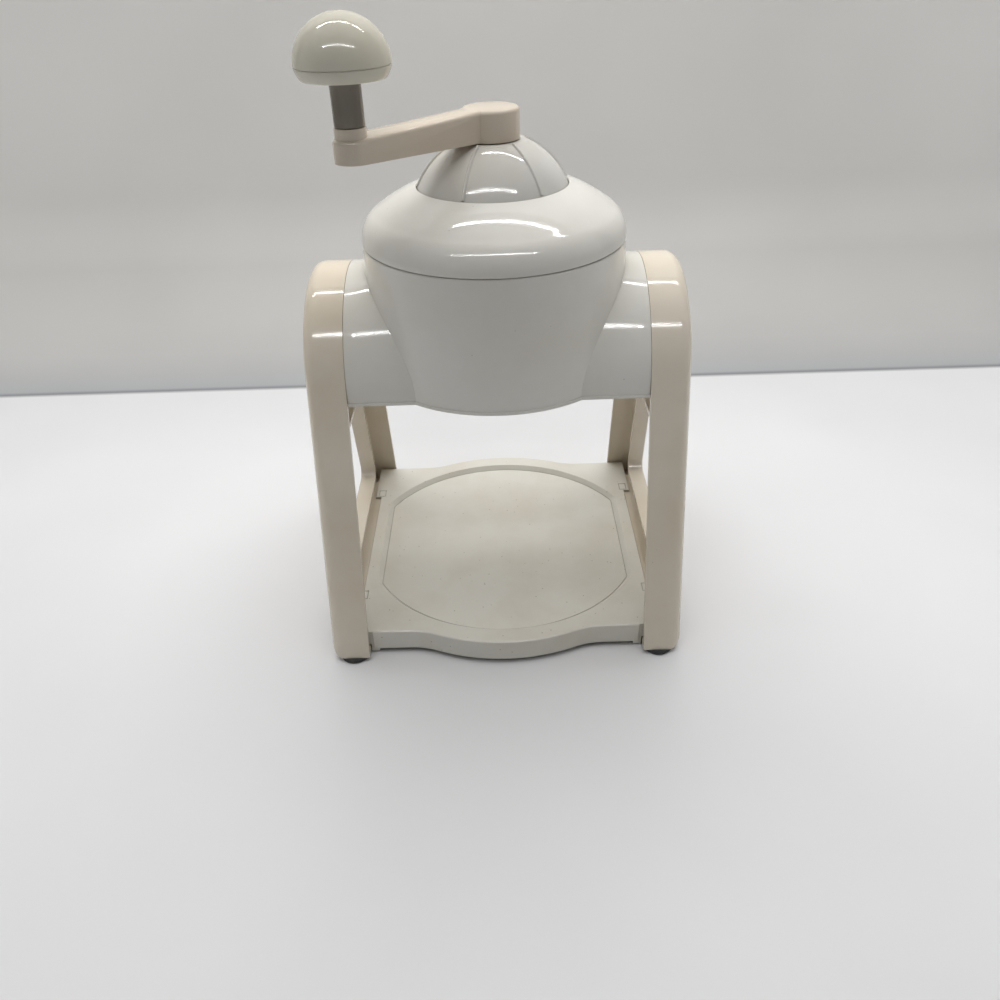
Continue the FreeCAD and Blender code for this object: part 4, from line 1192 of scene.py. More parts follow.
@dataclass
class Tray:
    """The tray: a slab with swelling front and back edges, wings into the frames and a sunk round field.

    Attributes:
        top: level of its top face.
        base: level of the lower edge in front and behind.
        half_width: half its width between the frames.
        edge: Y of the back edge in the corners.
        bulge: Y of the back edge in the middle, and the radius that it swells in.
        blend: radius of the hollow curve from the swell into the corners.
        edge_round: rounding of the top edge in front and behind.
        edge_from: Y past which a top edge is one of these.
        wall: thickness of the walls.
        floor: thickness from the top face to the hollow below.
        flange_root: how far the flange reaches in under the slab.
        flange_reach: X of its outer face.
        flange_base: level of its foot.
        wing_root: how far a wing reaches in under the slab.
        wing_reach: X of a wing's end.
        wing_notch: X of the notch's floor.
        wing_edge: Y of a wing's back edge.
        wing_base: level of its underside.
        notch_half: half the length of the notch for the frame's ledge.
        field_radius: radius of the sunk field's edge.
        field_half: where the field is cut off at the sides.
        field_depth: its depth, and how far its edge slopes in.
        foot_groove: width and depth of the groove at the foot of the slope.
        foot_clear: how far the groove's cut runs up over the field.
        rib_height: height of the ribs below.
        rib_wall: their thickness.
        rib_inset: how far they stop short of the tray's edge.
        tab_start: Y where a snap tab starts.
        tab_length: its length.
        tab_inner: X of its inner side.
        tab_outer: X of its outer side.
        tab_groove: width and depth of the groove round it.
    """

    top: float = 15.5
    base: float = 3.0
    half_width: float = 75.5
    edge: float = 87.3
    bulge: float = 98.6
    blend: float = 40.0
    edge_round: float = 1.1
    edge_from: float = 80.0
    wall: float = 2.6
    floor: float = 5.0
    flange_root: float = 3.0
    flange_reach: float = 77.1
    flange_base: float = 0.6
    wing_root: float = 6.0
    wing_reach: float = 88.1
    wing_notch: float = 84.3
    wing_edge: float = 86.8
    wing_base: float = 6.2
    notch_half: float = 50.0
    field_radius: float = 87.9
    field_half: float = 77.3
    field_depth: float = 2.6
    foot_groove: float = 0.4
    foot_clear: float = 0.2
    rib_height: float = 8.0
    rib_wall: float = 2.0
    rib_inset: float = 1.0
    tab_start: float = 50.8
    tab_length: float = 7.4
    tab_inner: float = 81.4
    tab_outer: float = 86.4
    tab_groove: float = 0.5

    def outline(self, inset: float) -> Outline:
        """A rectangle whose front and back swell out in the middle and flow into the corners.

        Args:
            inset: how far the outline is set in.

        Returns:
            The corners, from the front left one, going round.
        """
        side, edge, bulge = self.half_width - inset, self.edge - inset, self.bulge - inset
        meet = edge + self.blend
        reach = math.sqrt((bulge + self.blend) ** 2 - meet**2)
        turn = math.degrees(math.atan2(meet, reach))
        front = [*arc((-reach, -meet), self.blend, 90.0, turn, 8),
                 *arc((0.0, 0.0), bulge, 180.0 + turn, 360.0 - turn, 40)[1:-1],
                 *arc((reach, -meet), self.blend, 180.0 - turn, 90.0, 8)]
        half = [(-side, -edge), *front, (side, -edge)]
        return half + [(-x, -y) for x, y in half]

    def slab(self) -> Form:
        """The tray's slab, its front and back edges rounded on top.

        Returns:
            The slab.
        """
        on_top = level_at(Across.Z, self.top)
        return rounded(prism(self.outline(0.0), self.base, self.top, Across.Z), self.edge_round, 4,
                       lambda one, two: on_top(one, two) and min(abs(one.y), abs(two.y)) > self.edge_from)

    def wing(self, side: int) -> Form:
        """A wing that reaches into the frame, with the notch for the frame's ledge.

        Args:
            side: -1 for the left one, 1 for the right one.

        Returns:
            The wing.
        """
        inner, notch, reach = self.half_width - self.wing_root, self.wing_notch, self.wing_reach
        corners = [(inner, -self.wing_edge), (reach, -self.wing_edge), (reach, -self.notch_half),
                   (notch, -self.notch_half), (notch, self.notch_half), (reach, self.notch_half),
                   (reach, self.wing_edge), (inner, self.wing_edge)]
        return prism([(side * x, y) for x, y in corners], self.wing_base, self.top, Across.Z)

    def flange(self, side: int) -> Form:
        """The strip that stands down beside the frame.

        Args:
            side: -1 for the left one, 1 for the right one.

        Returns:
            The strip.
        """
        low, high = sorted((side * (self.half_width - self.flange_root), side * self.flange_reach))
        return block((low, -self.wing_edge, self.flange_base), (high, self.wing_edge, self.top - OVERCUT))

    def field_outline(self, grow: float) -> Outline:
        """The sunk field's outline: a circle cut off at both sides.

        Args:
            grow: how much wider it is all round.

        Returns:
            The corners, going round.
        """
        radius, half = self.field_radius + grow, self.field_half + grow
        turn = math.degrees(math.acos(half / radius))
        return [*arc((0.0, 0.0), radius, turn, 180.0 - turn, 64),
                *arc((0.0, 0.0), radius, 180.0 + turn, 360.0 - turn, 64)]

    def sunk_field(self) -> Form:
        """The field with its sloping edge, as a solid.

        Returns:
            The solid.
        """
        return loft(self.field_outline(-self.field_depth), self.top - self.field_depth,
                    self.field_outline(OVERCUT), self.top + OVERCUT)

    def field_groove(self) -> Form:
        """The fine groove at the foot of the field's slope, as a solid.

        Returns:
            The solid.
        """
        level = self.top - self.field_depth
        outside, inside = (
            loft(self.field_outline(-self.field_depth - inset), level - deep,
                 self.field_outline(-self.field_depth - inset), level + self.foot_clear + deep)
            for inset, deep in ((0.0, self.foot_groove), (self.foot_groove, OVERCUT)))
        return carved(outside, inside, Cut.TAKE)

    def tab_lines(self) -> Form:
        """The thin grooves round the four square snap tabs at the ends of the ledges.

        Returns:
            The grooves as solids.
        """
        low, high, groove = self.tab_start, self.tab_start + self.tab_length, self.tab_groove
        lines = []
        for side in (-1, 1):
            for end in (-1, 1):
                around, tab = (self.patch((self.tab_inner + inset, low + inset),
                                          (self.tab_outer - inset, high - inset), side, end, inset)
                               for inset in (0.0, groove))
                lines.append(carved(around, tab, Cut.TAKE))
        return gathered(*lines)

    def patch(self, low: Point, high: Point, side: int, end: int, taller: float) -> Form:
        """A block in the top face, near one of the four corners.

        Args:
            low: its least distances from the middle in X and Y.
            high: its greatest ones.
            side: -1 for the left, 1 for the right.
            end: -1 for the front, 1 for the back.
            taller: how much further it reaches down and up than the groove's depth.

        Returns:
            The block.
        """
        xs, ys = sorted((side * low[0], side * high[0])), sorted((end * low[1], end * high[1]))
        return block((xs[0], ys[0], self.top - self.tab_groove - taller),
                     (xs[1], ys[1], self.top + OVERCUT + taller))

    def wing_pocket(self, side: int, ceiling: float) -> Form:
        """The hollow below a wing, beside the notch.

        Args:
            side: -1 for the left one, 1 for the right one.
            ceiling: the hollow's upper level.

        Returns:
            The hollow as a solid.
        """
        low, high = sorted((side * (self.half_width - 2 * self.wall), side * (self.wing_notch - self.wall)))
        reach = self.notch_half - self.wall
        return block((low, -reach, self.flange_base - OVERCUT), (high, reach, ceiling))

    def ribs(self, ceiling: float) -> list[Form]:
        """Three ribs each way under the floor.

        Args:
            ceiling: level of the floor's underside.

        Returns:
            The ribs.
        """
        low, high, half = ceiling - self.rib_height, ceiling + self.floor / 4, self.rib_wall / 2
        reach_x, reach_y = self.half_width - self.rib_inset, self.edge - self.rib_inset
        ribs = []
        for place in (-1, 0, 1):
            x, y = place * self.half_width / 2, place * self.edge / 2
            ribs += [block((-reach_x, y - half, low), (reach_x, y + half, high)),
                     block((x - half, -reach_y, low), (x + half, reach_y, high))]
        return ribs

    def build(self, bench: Bench) -> None:
        """Make the tray.

        Args:
            bench: finishes the pieces.
        """
        solid, ceiling = self.slab(), self.top - self.floor
        for side in (-1, 1):
            solid = carved(solid, self.wing(side), Cut.JOIN)
            solid = carved(solid, self.flange(side), Cut.JOIN)
        cavity = prism(self.outline(self.wall), self.flange_base - OVERCUT, ceiling, Across.Z)
        for tool in (self.sunk_field(), self.field_groove(), self.tab_lines(), cavity,
                     self.wing_pocket(-1, ceiling), self.wing_pocket(1, ceiling)):
            solid = carved(solid, tool, Cut.TAKE)
        for rib in self.ribs(ceiling):
            solid = carved(solid, rib, Cut.JOIN)
        bench.piece("tray_moulding", solid, TRAY_PP, Body.STAND, ("base_tray",))


@dataclass
class Housing:
    """The white housing: a round bowl that crosses a half round shoulder, open below.

    Attributes:
        plane: X of the shoulder's ends.
        arch_radius: radius of the shoulder.
        arch_height: level of its middle and of its flat underside.
        wall: thickness of the walls.
        steps: how many flat strips go round the bowl.
        bowl_low: radius of the bowl at its foot.
        bowl_rim: radius of its rim.
        bowl_top: level of its rim.
        seam_round: rounding of the edges that meet a seam.
        seam_taper: how much wider the bowl still is where the rim's rounding starts.
        lip_height: height of the lip round the underside.
        lip_depth: how far the lip is set in.
        shelf_level: level of the inner shelf.
        shelf_thick: its thickness.
        shelf_inner: its inner radius.
        shelf_root: how far inside the bowl's foot it ends in the wall.
    """

    plane: float = 77.5
    arch_radius: float = 55.35
    arch_height: float = 142.0
    wall: float = 2.6
    steps: int = 144
    bowl_low: float = 69.7
    bowl_rim: float = 68.3
    bowl_top: float = 211.0
    seam_round: float = 0.5
    seam_taper: float = 0.01
    lip_height: float = 1.6
    lip_depth: float = 0.5
    shelf_level: float = 151.0
    shelf_thick: float = 2.4
    shelf_inner: float = 57.3
    shelf_root: float = 1.5

    def shoulder(self, inset: float, level: float) -> Form:
        """The half round shoulder.

        Args:
            inset: how far it is set in.
            level: where its flat side lies.

        Returns:
            The solid.
        """
        radius = self.arch_radius - inset
        crown = arc((0.0, self.arch_height), radius, 0.0, 180.0, 72)
        foot = [] if level == self.arch_height else [(-radius, level), (radius, level)]
        return prism([*foot, *crown], -(self.plane - inset), self.plane - inset, Across.X)

    def bowl(self) -> Form:
        """The bowl's outside, with its rim's edge rounded.

        Returns:
            The solid.
        """
        base, top, rounding = self.arch_height, self.bowl_top, self.seam_round
        return spun([(0.0, base), (self.bowl_low, base), (self.bowl_rim + self.seam_taper, top - rounding),
                     (self.bowl_rim - rounding, top), (0.0, top)], self.steps)

    def bowl_inside(self) -> Form:
        """The bowl's inside, which runs out past its rim and its foot.

        Returns:
            The solid.
        """
        base, top = self.arch_height - OVERCUT, self.bowl_top + OVERCUT
        low, rim = self.bowl_low - self.wall, self.bowl_rim - self.wall
        return spun([(0.0, base), (low, base), (low, self.arch_height), (rim, self.bowl_top), (rim, top),
                     (0.0, top)], self.steps)

    def plan(self, grow: float, low: float, high: float) -> Form:
        """The housing's outline from above, as a slab.

        Args:
            grow: how much wider it is all round.
            low: where it starts.
            high: where it ends.

        Returns:
            The slab.
        """
        slab = block((-self.plane, -self.arch_radius - grow, low), (self.plane, self.arch_radius + grow, high))
        disc = rod((0.0, 0.0, low), self.bowl_low + grow, high - low, Across.Z, self.steps)
        return carved(slab, disc, Cut.JOIN)

    def lip(self) -> Form:
        """The lip round the underside.

        Returns:
            The lip.
        """
        base, top = self.arch_height, self.arch_height + self.lip_height
        within = self.plan(-self.wall / 2, base - OVERCUT, top + OVERCUT)
        return carved(self.plan(self.lip_depth, base, top), within, Cut.TAKE)

    def shelf(self) -> Form:
        """The inner shelf that the hopper hangs on.

        Returns:
            The shelf.
        """
        root, top = self.bowl_low - self.shelf_root, self.shelf_level + self.shelf_thick
        return spun([(self.shelf_inner, self.shelf_level), (root, self.shelf_level), (root, top),
                     (self.shelf_inner, top)], self.steps)

    def build(self, bench: Bench) -> None:
        """Make the housing.

        Args:
            bench: finishes the pieces.
        """
        def on_end(one: Vector, two: Vector) -> bool:
            """Whether an edge is the arched one of either end."""
            return (abs(abs(one.x) - self.plane) < SAME_PLANE and abs(one.x - two.x) < SAME_PLANE
                    and max(one.z, two.z) > self.arch_height + SAME_PLANE)

        ends = rounded(self.shoulder(0.0, self.arch_height), self.seam_round, 2, on_end)
        outside = carved(ends, self.bowl(), Cut.JOIN)
        inside = carved(self.shoulder(self.wall, self.arch_height - OVERCUT), self.bowl_inside(), Cut.JOIN)
        shell = carved(outside, inside, Cut.TAKE)
        for part in (self.lip(), self.shelf()):
            shell = carved(shell, part, Cut.JOIN)
        bench.piece("housing_moulding", shell, WHITE_ABS, Body.STAND, ("body_housing",))


# ------------------------------------------------------------------ the lid


@dataclass
class Lid:
    """The pillow shaped lid with its skirt, and the ribbed dome that stands in its hole.

    Attributes:
        rim: radius of the lid's rim.
        seam: level of its underside, on the housing.
        seam_round: rounding of its lower edge and of the hole's edge.
        side_top: level where the side starts to turn in.
        shoulder: radius and level where the side's round meets the crown.
        edge_round: radius of the side's round.
        hole: radius and level of the hole's edge.
        hole_drop: how far the crown falls over the rounding of the hole's edge.
        crown: radius of the slow curve up to the hole.
        wall: thickness of the walls.
        seat: level of the dome's seat under the lid.
        under: radius and level of the points along the underside, from the seat out.
        skirt_top: level where the underside meets the skirt.
        skirt_inner: inner radius of the skirt.
        skirt_outer: its outer radius.
        skirt_base: level of its foot.
        dome_radius: radius of the dome's ball.
        dome_centre: level of the ball's middle.
        dome_base: level where the dome leaves its straight foot.
        dome_top: level of its flat top.
        dome_wall: its thickness.
        flange: radius of the flange that holds it under the lid.
        flange_base: level of the flange's underside.
        bore: radius of the hole for the bush.
        rib_count: how many ribs the dome has.
        rib_turn: where the first one stands, in degrees.
        rib_width: width of a rib.
        rib_proud: how far it stands proud.
        rib_crest: width of its crest as a share of its width.
        rib_side: how far its straight sides stand proud.
        rib_root: how deep it reaches into the dome.
        rib_start: how far above the hole's edge it starts.
    """

    rim: float = 68.3
    seam: float = 211.3
    seam_round: float = 0.5
    side_top: float = 213.0
    shoulder: Point = (60.7, 226.0)
    edge_round: float = 15.0
    hole: Point = (38.4, 237.4)
    hole_drop: float = 0.05
    crown: float = 90.0
    wall: float = 2.4
    seat: float = 233.0
    under: tuple[Point, ...] = ((44.0, 233.0), (52.0, 229.2), (59.5, 223.6), (64.0, 219.6))
    skirt_top: float = 214.4
    skirt_inner: float = 61.3
    skirt_outer: float = 63.3
    skirt_base: float = 199.5
    dome_radius: float = 41.7
    dome_centre: float = 219.7
    dome_base: float = 236.4
    dome_top: float = 257.8
    dome_wall: float = 2.3
    flange: float = 43.0
    flange_base: float = 231.0
    bore: float = 6.0
    rib_count: int = 6
    rib_turn: float = -52.0
    rib_width: float = 1.7
    rib_proud: float = 0.75
    rib_crest: float = 0.45
    rib_side: float = 0.1
    rib_root: float = 0.6
    rib_start: float = 0.3

    def lid_profile(self) -> Outline:
        """Outer curve, hole, seat for the dome, inner curve and skirt.

        Returns:
            The closed (radius, height) outline.
        """
        side, rounding = (self.rim, self.side_top), self.seam_round
        outer = [side, *arc_through(side, self.shoulder, self.edge_round, 14)]
        outer += arc_through(self.shoulder, self.hole, self.crown, 10)[:-1]
        edge, level = self.hole
        hole = [(edge + rounding, level - self.hole_drop), (edge, level - rounding), (edge, self.seat)]
        inner = [*self.under, (self.rim - self.wall, self.skirt_top)]
        skirt = [(self.skirt_inner, self.skirt_top), (self.skirt_inner, self.skirt_base),
                 (self.skirt_outer, self.skirt_base), (self.skirt_outer, self.seam),
                 (self.rim - rounding, self.seam), (self.rim, self.seam + rounding)]
        return [*outer, *hole, *inner, *skirt]

    def dome_profile(self) -> Outline:
        """The dome's cap, its bore for the bush and the flange under the lid.

        Returns:
            The closed (radius, height) outline.
        """
        def on_ball(level: float, inset: float) -> Point:
            """The point of the dome's ball at a level."""
            return math.sqrt((self.dome_radius - inset) ** 2 - (level - self.dome_centre) ** 2), level

        ceiling = self.dome_top - self.dome_wall
        base, inner_base = on_ball(self.dome_base, 0.0), on_ball(self.dome_base, self.dome_wall)
        cap = arc_through(base, on_ball(self.dome_top, 0.0), self.dome_radius, 24)
        under = arc_through(inner_base, on_ball(ceiling, self.dome_wall), self.dome_radius - self.dome_wall, 20)
        return [(self.flange, self.flange_base), (self.flange, self.seat), (base[0], self.seat), base, *cap,
                (self.bore, self.dome_top), (self.bore, ceiling), *reversed(under), inner_base,
                (inner_base[0], self.flange_base)]

    def rib(self, turn: float) -> Form:
        """One fine rib that runs up the dome from the lid to the flat top.

        Args:
            turn: where it stands, in degrees.

        Returns:
            The rib.
        """
        low = math.asin((self.hole[1] + self.rib_start - self.dome_centre) / self.dome_radius)
        high = math.asin((self.dome_top - self.dome_centre) / self.dome_radius)
        half, crest = self.rib_width / 2, self.rib_width / 2 * self.rib_crest
        root, side = self.dome_radius - self.rib_root, self.dome_radius + self.rib_side
        top = self.dome_radius + self.rib_proud
        section = [(root, -half), (side, -half), (top, -crest), (top, crest), (side, half), (root, half)]
        start = Matrix.Rotation(-low, 3, "Y")
        form = bmesh.new()
        face = form.faces.new([form.verts.new(start @ Vector((radius, y, 0.0))) for radius, y in section])
        bmesh.ops.spin(form, geom=[face, *face.edges, *face.verts], cent=(0, 0, 0), axis=(0, -1, 0),
                       angle=high - low, steps=24, use_merge=False, use_duplicate=False)
        bmesh.ops.holes_fill(form, edges=form.edges, sides=len(section))
        bmesh.ops.recalc_face_normals(form, faces=form.faces)
        bmesh.ops.translate(form, vec=(0.0, 0.0, self.dome_centre), verts=form.verts)
        return turned_about_z(form, turn)

    def build(self, bench: Bench) -> None:
        """Make lid, dome and ribs.

        Args:
            bench: finishes the pieces.
        """
        bench.piece("lid_moulding", spun(self.lid_profile(), 160), WHITE_ABS, Body.LID,
                    ("lid",))
        ribs = [self.rib(self.rib_turn + 360.0 / self.rib_count * index) for index in range(self.rib_count)]
        bench.piece("dome_moulding", gathered(spun(self.dome_profile()), *ribs), GREY_WHITE_ABS, Body.LID,
                    ("dome_cover",))


# ------------------------------------------------------------------ crank and knob


@dataclass
class Crank:
    """The crank: a round head and a tapering arm, hollow from below, with a boss for the knob.

    Attributes:
        turn: how far the arm stands turned from -X at rest, in degrees.
        reach: from the crank's axis to the knob's.
        head_radius: radius of the head.
        head_base: level of the head's underside.
        head_top: level of its top.
        half_head: half the arm's width at the head.
        end_radius: radius of the arm's round end.
        end_base: level of its underside.
        end_top: level of its top.
        wall: thickness of the walls.
        roof: thickness of the top.
        edge: rounding of the upper edges.
        top_band: how far below the end's top an edge may lie and still be an upper one.
        hollow_drop: how far the hollow's tool reaches down past the arm.
        blank_below: how far the arm's plan is pushed down past the head.
        blank_above: how far it is pushed up past the head.
        blank_half: how far the arm's side view is pushed out both ways.
        hub_radius: radius of the hub that the spindle is fixed in.
        hub_base: level of its foot.
        seat_base: level of the foot of the knob pin's seat.
        boss_radius: radius of the knob's boss.
        boss_top: level of its top.
        boss_round: rounding of its edge.
        bore_radius: radius of the hole for the knob's pin.
        bore_base: level where its tool starts.
        bore_length: length of its tool.
    """

    turn: float = 40.5
    reach: float = 79.4
    head_radius: float = 14.3
    head_base: float = 258.4
    head_top: float = 272.7
    half_head: float = 7.0
    end_radius: float = 8.4
    end_base: float = 260.4
    end_top: float = 270.1
    wall: float = 2.4
    roof: float = 3.2
    edge: float = 1.9
    top_band: float = 0.5
    hollow_drop: float = 4.0
    blank_below: float = 6.0
    blank_above: float = 4.0
    blank_half: float = 20.0
    hub_radius: float = 6.0
    hub_base: float = 259.8
    seat_base: float = 264.0
    boss_radius: float = 7.1
    boss_top: float = 274.8
    boss_round: float = 0.4
    bore_radius: float = 3.0
    bore_base: float = 255.0
    bore_length: float = 24.0

    def knob_spot(self) -> Point:
        """X and Y of the knob's axis, to a thousandth of a millimetre."""
        turn = math.radians(self.turn)
        return round(-self.reach * math.cos(turn), 3), round(-self.reach * math.sin(turn), 3)

    def arm(self, inset: float, drop: float, roof: float) -> Form:
        """The arm along -X, where the plan and the side view meet.

        Args:
            inset: how far its plan is set in.
            drop: how far below the arm it starts.
            roof: how far below the arm's top it stops.

        Returns:
            The solid.
        """
        end = self.end_radius - inset
        plan = [(0.0, self.half_head - inset), (0.0, -(self.half_head - inset)), (-self.reach, -end),
                *arc((-self.reach, 0.0), end, 270.0, 90.0, 20)[1:]]
        far = -self.reach - self.end_radius - OVERCUT
        side = [(0.0, self.head_base - drop), (0.0, self.head_top - roof),
                (-self.head_radius, self.head_top - roof), (far, self.end_top - roof),
                (far, self.end_base - drop)]
        upright = prism(plan, self.head_base - self.blank_below, self.head_top + self.blank_above, Across.Z)
        return carved(upright, prism(side, -self.blank_half, self.blank_half, Across.Y), Cut.SHARE)

    def rounded_arm(self) -> Form:
        """The arm with its upper edges rounded, all but the one inside the head.

        Returns:
            The solid.
        """
        arm = self.arm(0.0, 0.0, 0.0)
        tops = [edge for edge in arm.edges if is_crease(edge, 40.0)
                and min(corner.co.z for corner in edge.verts) > self.end_top - self.top_band
                and min(corner.co.x for corner in edge.verts) < -SAME_PLANE]
        return bevelled(arm, tops, self.edge, 4)

    def head(self) -> Form:
        """The round head.

        Returns:
            The solid.
        """
        return spun([(0.0, self.head_base), (self.head_radius, self.head_base),
                     *arc((self.head_radius - self.edge, self.head_top - self.edge), self.edge, 0.0, 90.0, 5),
                     (0.0, self.head_top)], 96)

    def hollows(self) -> list[Form]:
        """The hollows of arm and head, open below.

        Returns:
            The hollows as solids.
        """
        base, ceiling = self.head_base - OVERCUT, self.head_top - self.roof
        return [self.arm(self.wall, self.hollow_drop, self.roof),
                rod((0.0, 0.0, base), self.head_radius - self.wall, ceiling - base, Across.Z, 96)]

    def posts(self) -> list[Form]:
        """The hub for the spindle, the seat for the knob's pin and the boss on top of it.

        Returns:
            The solids.
        """
        hub_top, seat_top = self.head_top - self.roof / 2, self.end_top - self.roof / 2
        foot, rounding = self.end_top - OVERCUT, self.boss_round
        boss = [(0.0, foot), (self.boss_radius, foot),
                *arc((self.boss_radius - rounding, self.boss_top - rounding), rounding, 0.0, 90.0, 3),
                (0.0, self.boss_top)]
        return [rod((0.0, 0.0, self.hub_base), self.hub_radius, hub_top - self.hub_base, Across.Z, 48),
                rod((-self.reach, 0.0, self.seat_base), self.end_radius - self.wall / 2,
                    seat_top - self.seat_base, Across.Z, 48),
                spun(boss, 64, (-self.reach, 0.0))]

    def build(self, bench: Bench) -> None:
        """Make the crank.

        Args:
            bench: finishes the pieces.
        """
        solid = carved(self.rounded_arm(), self.head(), Cut.JOIN)
        for hollow in self.hollows():
            solid = carved(solid, hollow, Cut.TAKE)
        for post in self.posts():
            solid = carved(solid, post, Cut.JOIN)
        bore = rod((-self.reach, 0.0, self.bore_base), self.bore_radius, self.bore_length, Across.Z)
        solid = carved(solid, bore, Cut.TAKE)
        bench.piece("crank_moulding", turned_about_z(solid, self.turn), CRANK_ABS, Body.CRANK,
                    ("crank_arm",))


@dataclass
class Knob:
    """Grey sleeve, shallow base and domed cap, which turn freely on a steel pin.

    Attributes:
        centre: X and Y of its axis.
        bore: radius of the sleeve's hole.
        stem_radius: radius of the sleeve.
        stem_base: level of its foot.
        stem_top: level of its top, inside the base.
        stem_round: rounding of its lower edge.
        low_radius: radius of the base's underside.
        low: level of the underside.
        low_round: width of the slope round the underside.
        low_rise: height of that slope.
        base_curve: radius of the base's side.
        radius: radius of the knob at the seam.
        seam: level of the seam between base and cap.
        seam_depth: depth of the groove along it.
        seam_height: height of the base's part of the groove.
        base_inset: how far the base's side stays inside the cap's.
        floor_inset: how far the base's inner side slopes in.
        cap_start: angle at which the cap's side leaves the groove, in degrees.
        side_round: radius of the cap's side.
        side_angle: angle at which the side meets the crown, in degrees.
        wall: thickness of the walls.
    """

    centre: Point
    bore: float = 3.05
    stem_radius: float = 6.75
    stem_base: float = 275.0
    stem_top: float = 297.2
    stem_round: float = 0.3
    low_radius: float = 18.4
    low: float = 293.6
    low_round: float = 0.5
    low_rise: float = 0.4
    base_curve: float = 12.0
    radius: float = 20.6
    seam: float = 298.8
    seam_depth: float = 0.35
    seam_height: float = 0.3
    base_inset: float = 0.05
    floor_inset: float = 1.0
    cap_start: float = 1.2
    side_round: float = 19.5
    side_angle: float = 55.0
    wall: float = 2.4

    def stem_profile(self) -> Outline:
        """The sleeve.

        Returns:
            The closed (radius, height) outline.
        """
        return [(self.bore, self.stem_base), (self.stem_radius - self.stem_round, self.stem_base),
                (self.stem_radius, self.stem_base + self.stem_round), (self.stem_radius, self.stem_top),
                (self.bore, self.stem_top)]

    def base_profile(self) -> Outline:
        """The shallow base, which flares out to the seam.

        Returns:
            The closed (radius, height) outline.
        """
        inner, floor = self.radius - self.wall, self.low + self.wall
        foot = (self.low_radius, self.low + self.low_rise)
        brim = (self.radius - self.base_inset, self.seam - self.seam_height)
        return [(self.stem_radius, self.low), (self.low_radius - self.low_round, self.low), foot,
                *arc_through(foot, brim, self.base_curve, 10), (self.radius - self.seam_depth, self.seam),
                (inner, self.seam), (inner - self.floor_inset, floor), (self.stem_radius, floor)]

    def cap_profile(self) -> Outline:
        """The cap's outer curve, from the seam to the crown, and its inner one.

        Returns:
            The closed (radius, height) outline.
        """
        side = math.radians(self.side_angle)
        pivot = (self.radius - self.side_round, self.seam)
        corner = (pivot[0] + self.side_round * math.cos(side), self.seam + self.side_round * math.sin(side))
        crown = corner[0] / math.cos(side)
        middle = (0.0, corner[1] - crown * math.sin(side))
        outer = arc(pivot, self.side_round, self.cap_start, self.side_angle, 16)
        top = arc(middle, crown, self.side_angle, 90.0, 12)[1:]
        under = arc(middle, crown - self.wall, 90.0, self.side_angle, 10)
        inner = arc(pivot, self.side_round - self.wall, self.side_angle, 0.0, 12)[1:]
        return [(self.radius - self.seam_depth, self.seam), *outer, *top, *under, *inner]

    def build(self, bench: Bench) -> None:
        """Make sleeve, base and cap.

        Args:
            bench: finishes the pieces.
        """
        bench.piece("knob_sleeve", spun(self.stem_profile(), 72, self.centre), STEM_ABS, Body.KNOB,
                    ("knob_stem",))
        bench.piece("knob_base_moulding", spun(self.base_profile(), 96, self.centre), KNOB_ABS, Body.KNOB,
                    ("knob_base",))
        bench.piece("knob_cap_moulding", spun(self.cap_profile(), 96, self.centre), KNOB_ABS, Body.KNOB,
                    ("knob_cap",))


# ------------------------------------------------------------------ studio


@dataclass(frozen=True)
class Lamp:
    """A rectangular lamp that the camera doesn't see.

    Attributes:
        name: its name.
        spot: where it hangs, in metres.
        aim: what it points at.
        size: its two sides.
        power: in watts.
        shows: whether it lights, glints or does both.
    """

    name: str
    spot: Place
    aim: Place
    size: tuple[float, float]
    power: float
    shows: LampShows = LampShows.GLOW

    def hang(self) -> None:
        """Put the lamp into the studio."""
        data = bpy.data.lights.new(self.name, "AREA")
        data.shape, data.energy = "RECTANGLE", self.power
        data.size, data.size_y = self.size
        item = bpy.data.objects.new(self.name, data)
        bpy.context.scene.collection.objects.link(item)
        item.location = self.spot
        item.rotation_euler = (Vector(self.aim) - Vector(self.spot)).to_track_quat("-Z", "Y").to_euler()
        item.visible_camera = False
        item.visible_diffuse = self.shows is not LampShows.GLINT
        item.visible_glossy = self.shows is not LampShows.GLOW


# Wide soft boxes give the light.  The narrow rows only draw the long glints on the glossy shells, and the back
# panel also lays a broad soft sheen on the satin tray.
LAMPS = (
    Lamp("ceiling_softbox", (0.0, 0.12, 1.25), (0.0, 0.0, 0.1), (1.3, 1.0), 11.2),
    Lamp("front_softbox", (0.0, -0.82, 1.25), (0.0, 0.0, 0.2), (1.4, 0.25), 2.2),
    Lamp("back_softbox", (0.0, 0.44, 0.66), (0.0, 0.0, 0.62), (1.4, 0.5), 3.6),
    Lamp("back_panel", (0.0, 0.44, 0.66), (0.0, 0.0, 0.62), (0.5, 0.5), 2.4, LampShows.BOTH),
    Lamp("left_softbox", (-0.85, 0.0, 0.36), (0.0, 0.0, 0.05), (0.9, 0.4), 1.1),
    Lamp("right_softbox", (0.85, 0.0, 0.36), (0.0, 0.0, 0.05), (0.9, 0.4), 1.1),
    Lamp("front_row", (0.0, -0.82, 1.25), (0.0, 0.0, 0.2), (1.5, 0.04), 21.0, LampShows.GLINT),
    Lamp("rear_row", (0.0, 0.31, 1.25), (0.0, 0.0, 0.2), (1.4, 0.02), 5.0, LampShows.GLINT),
)


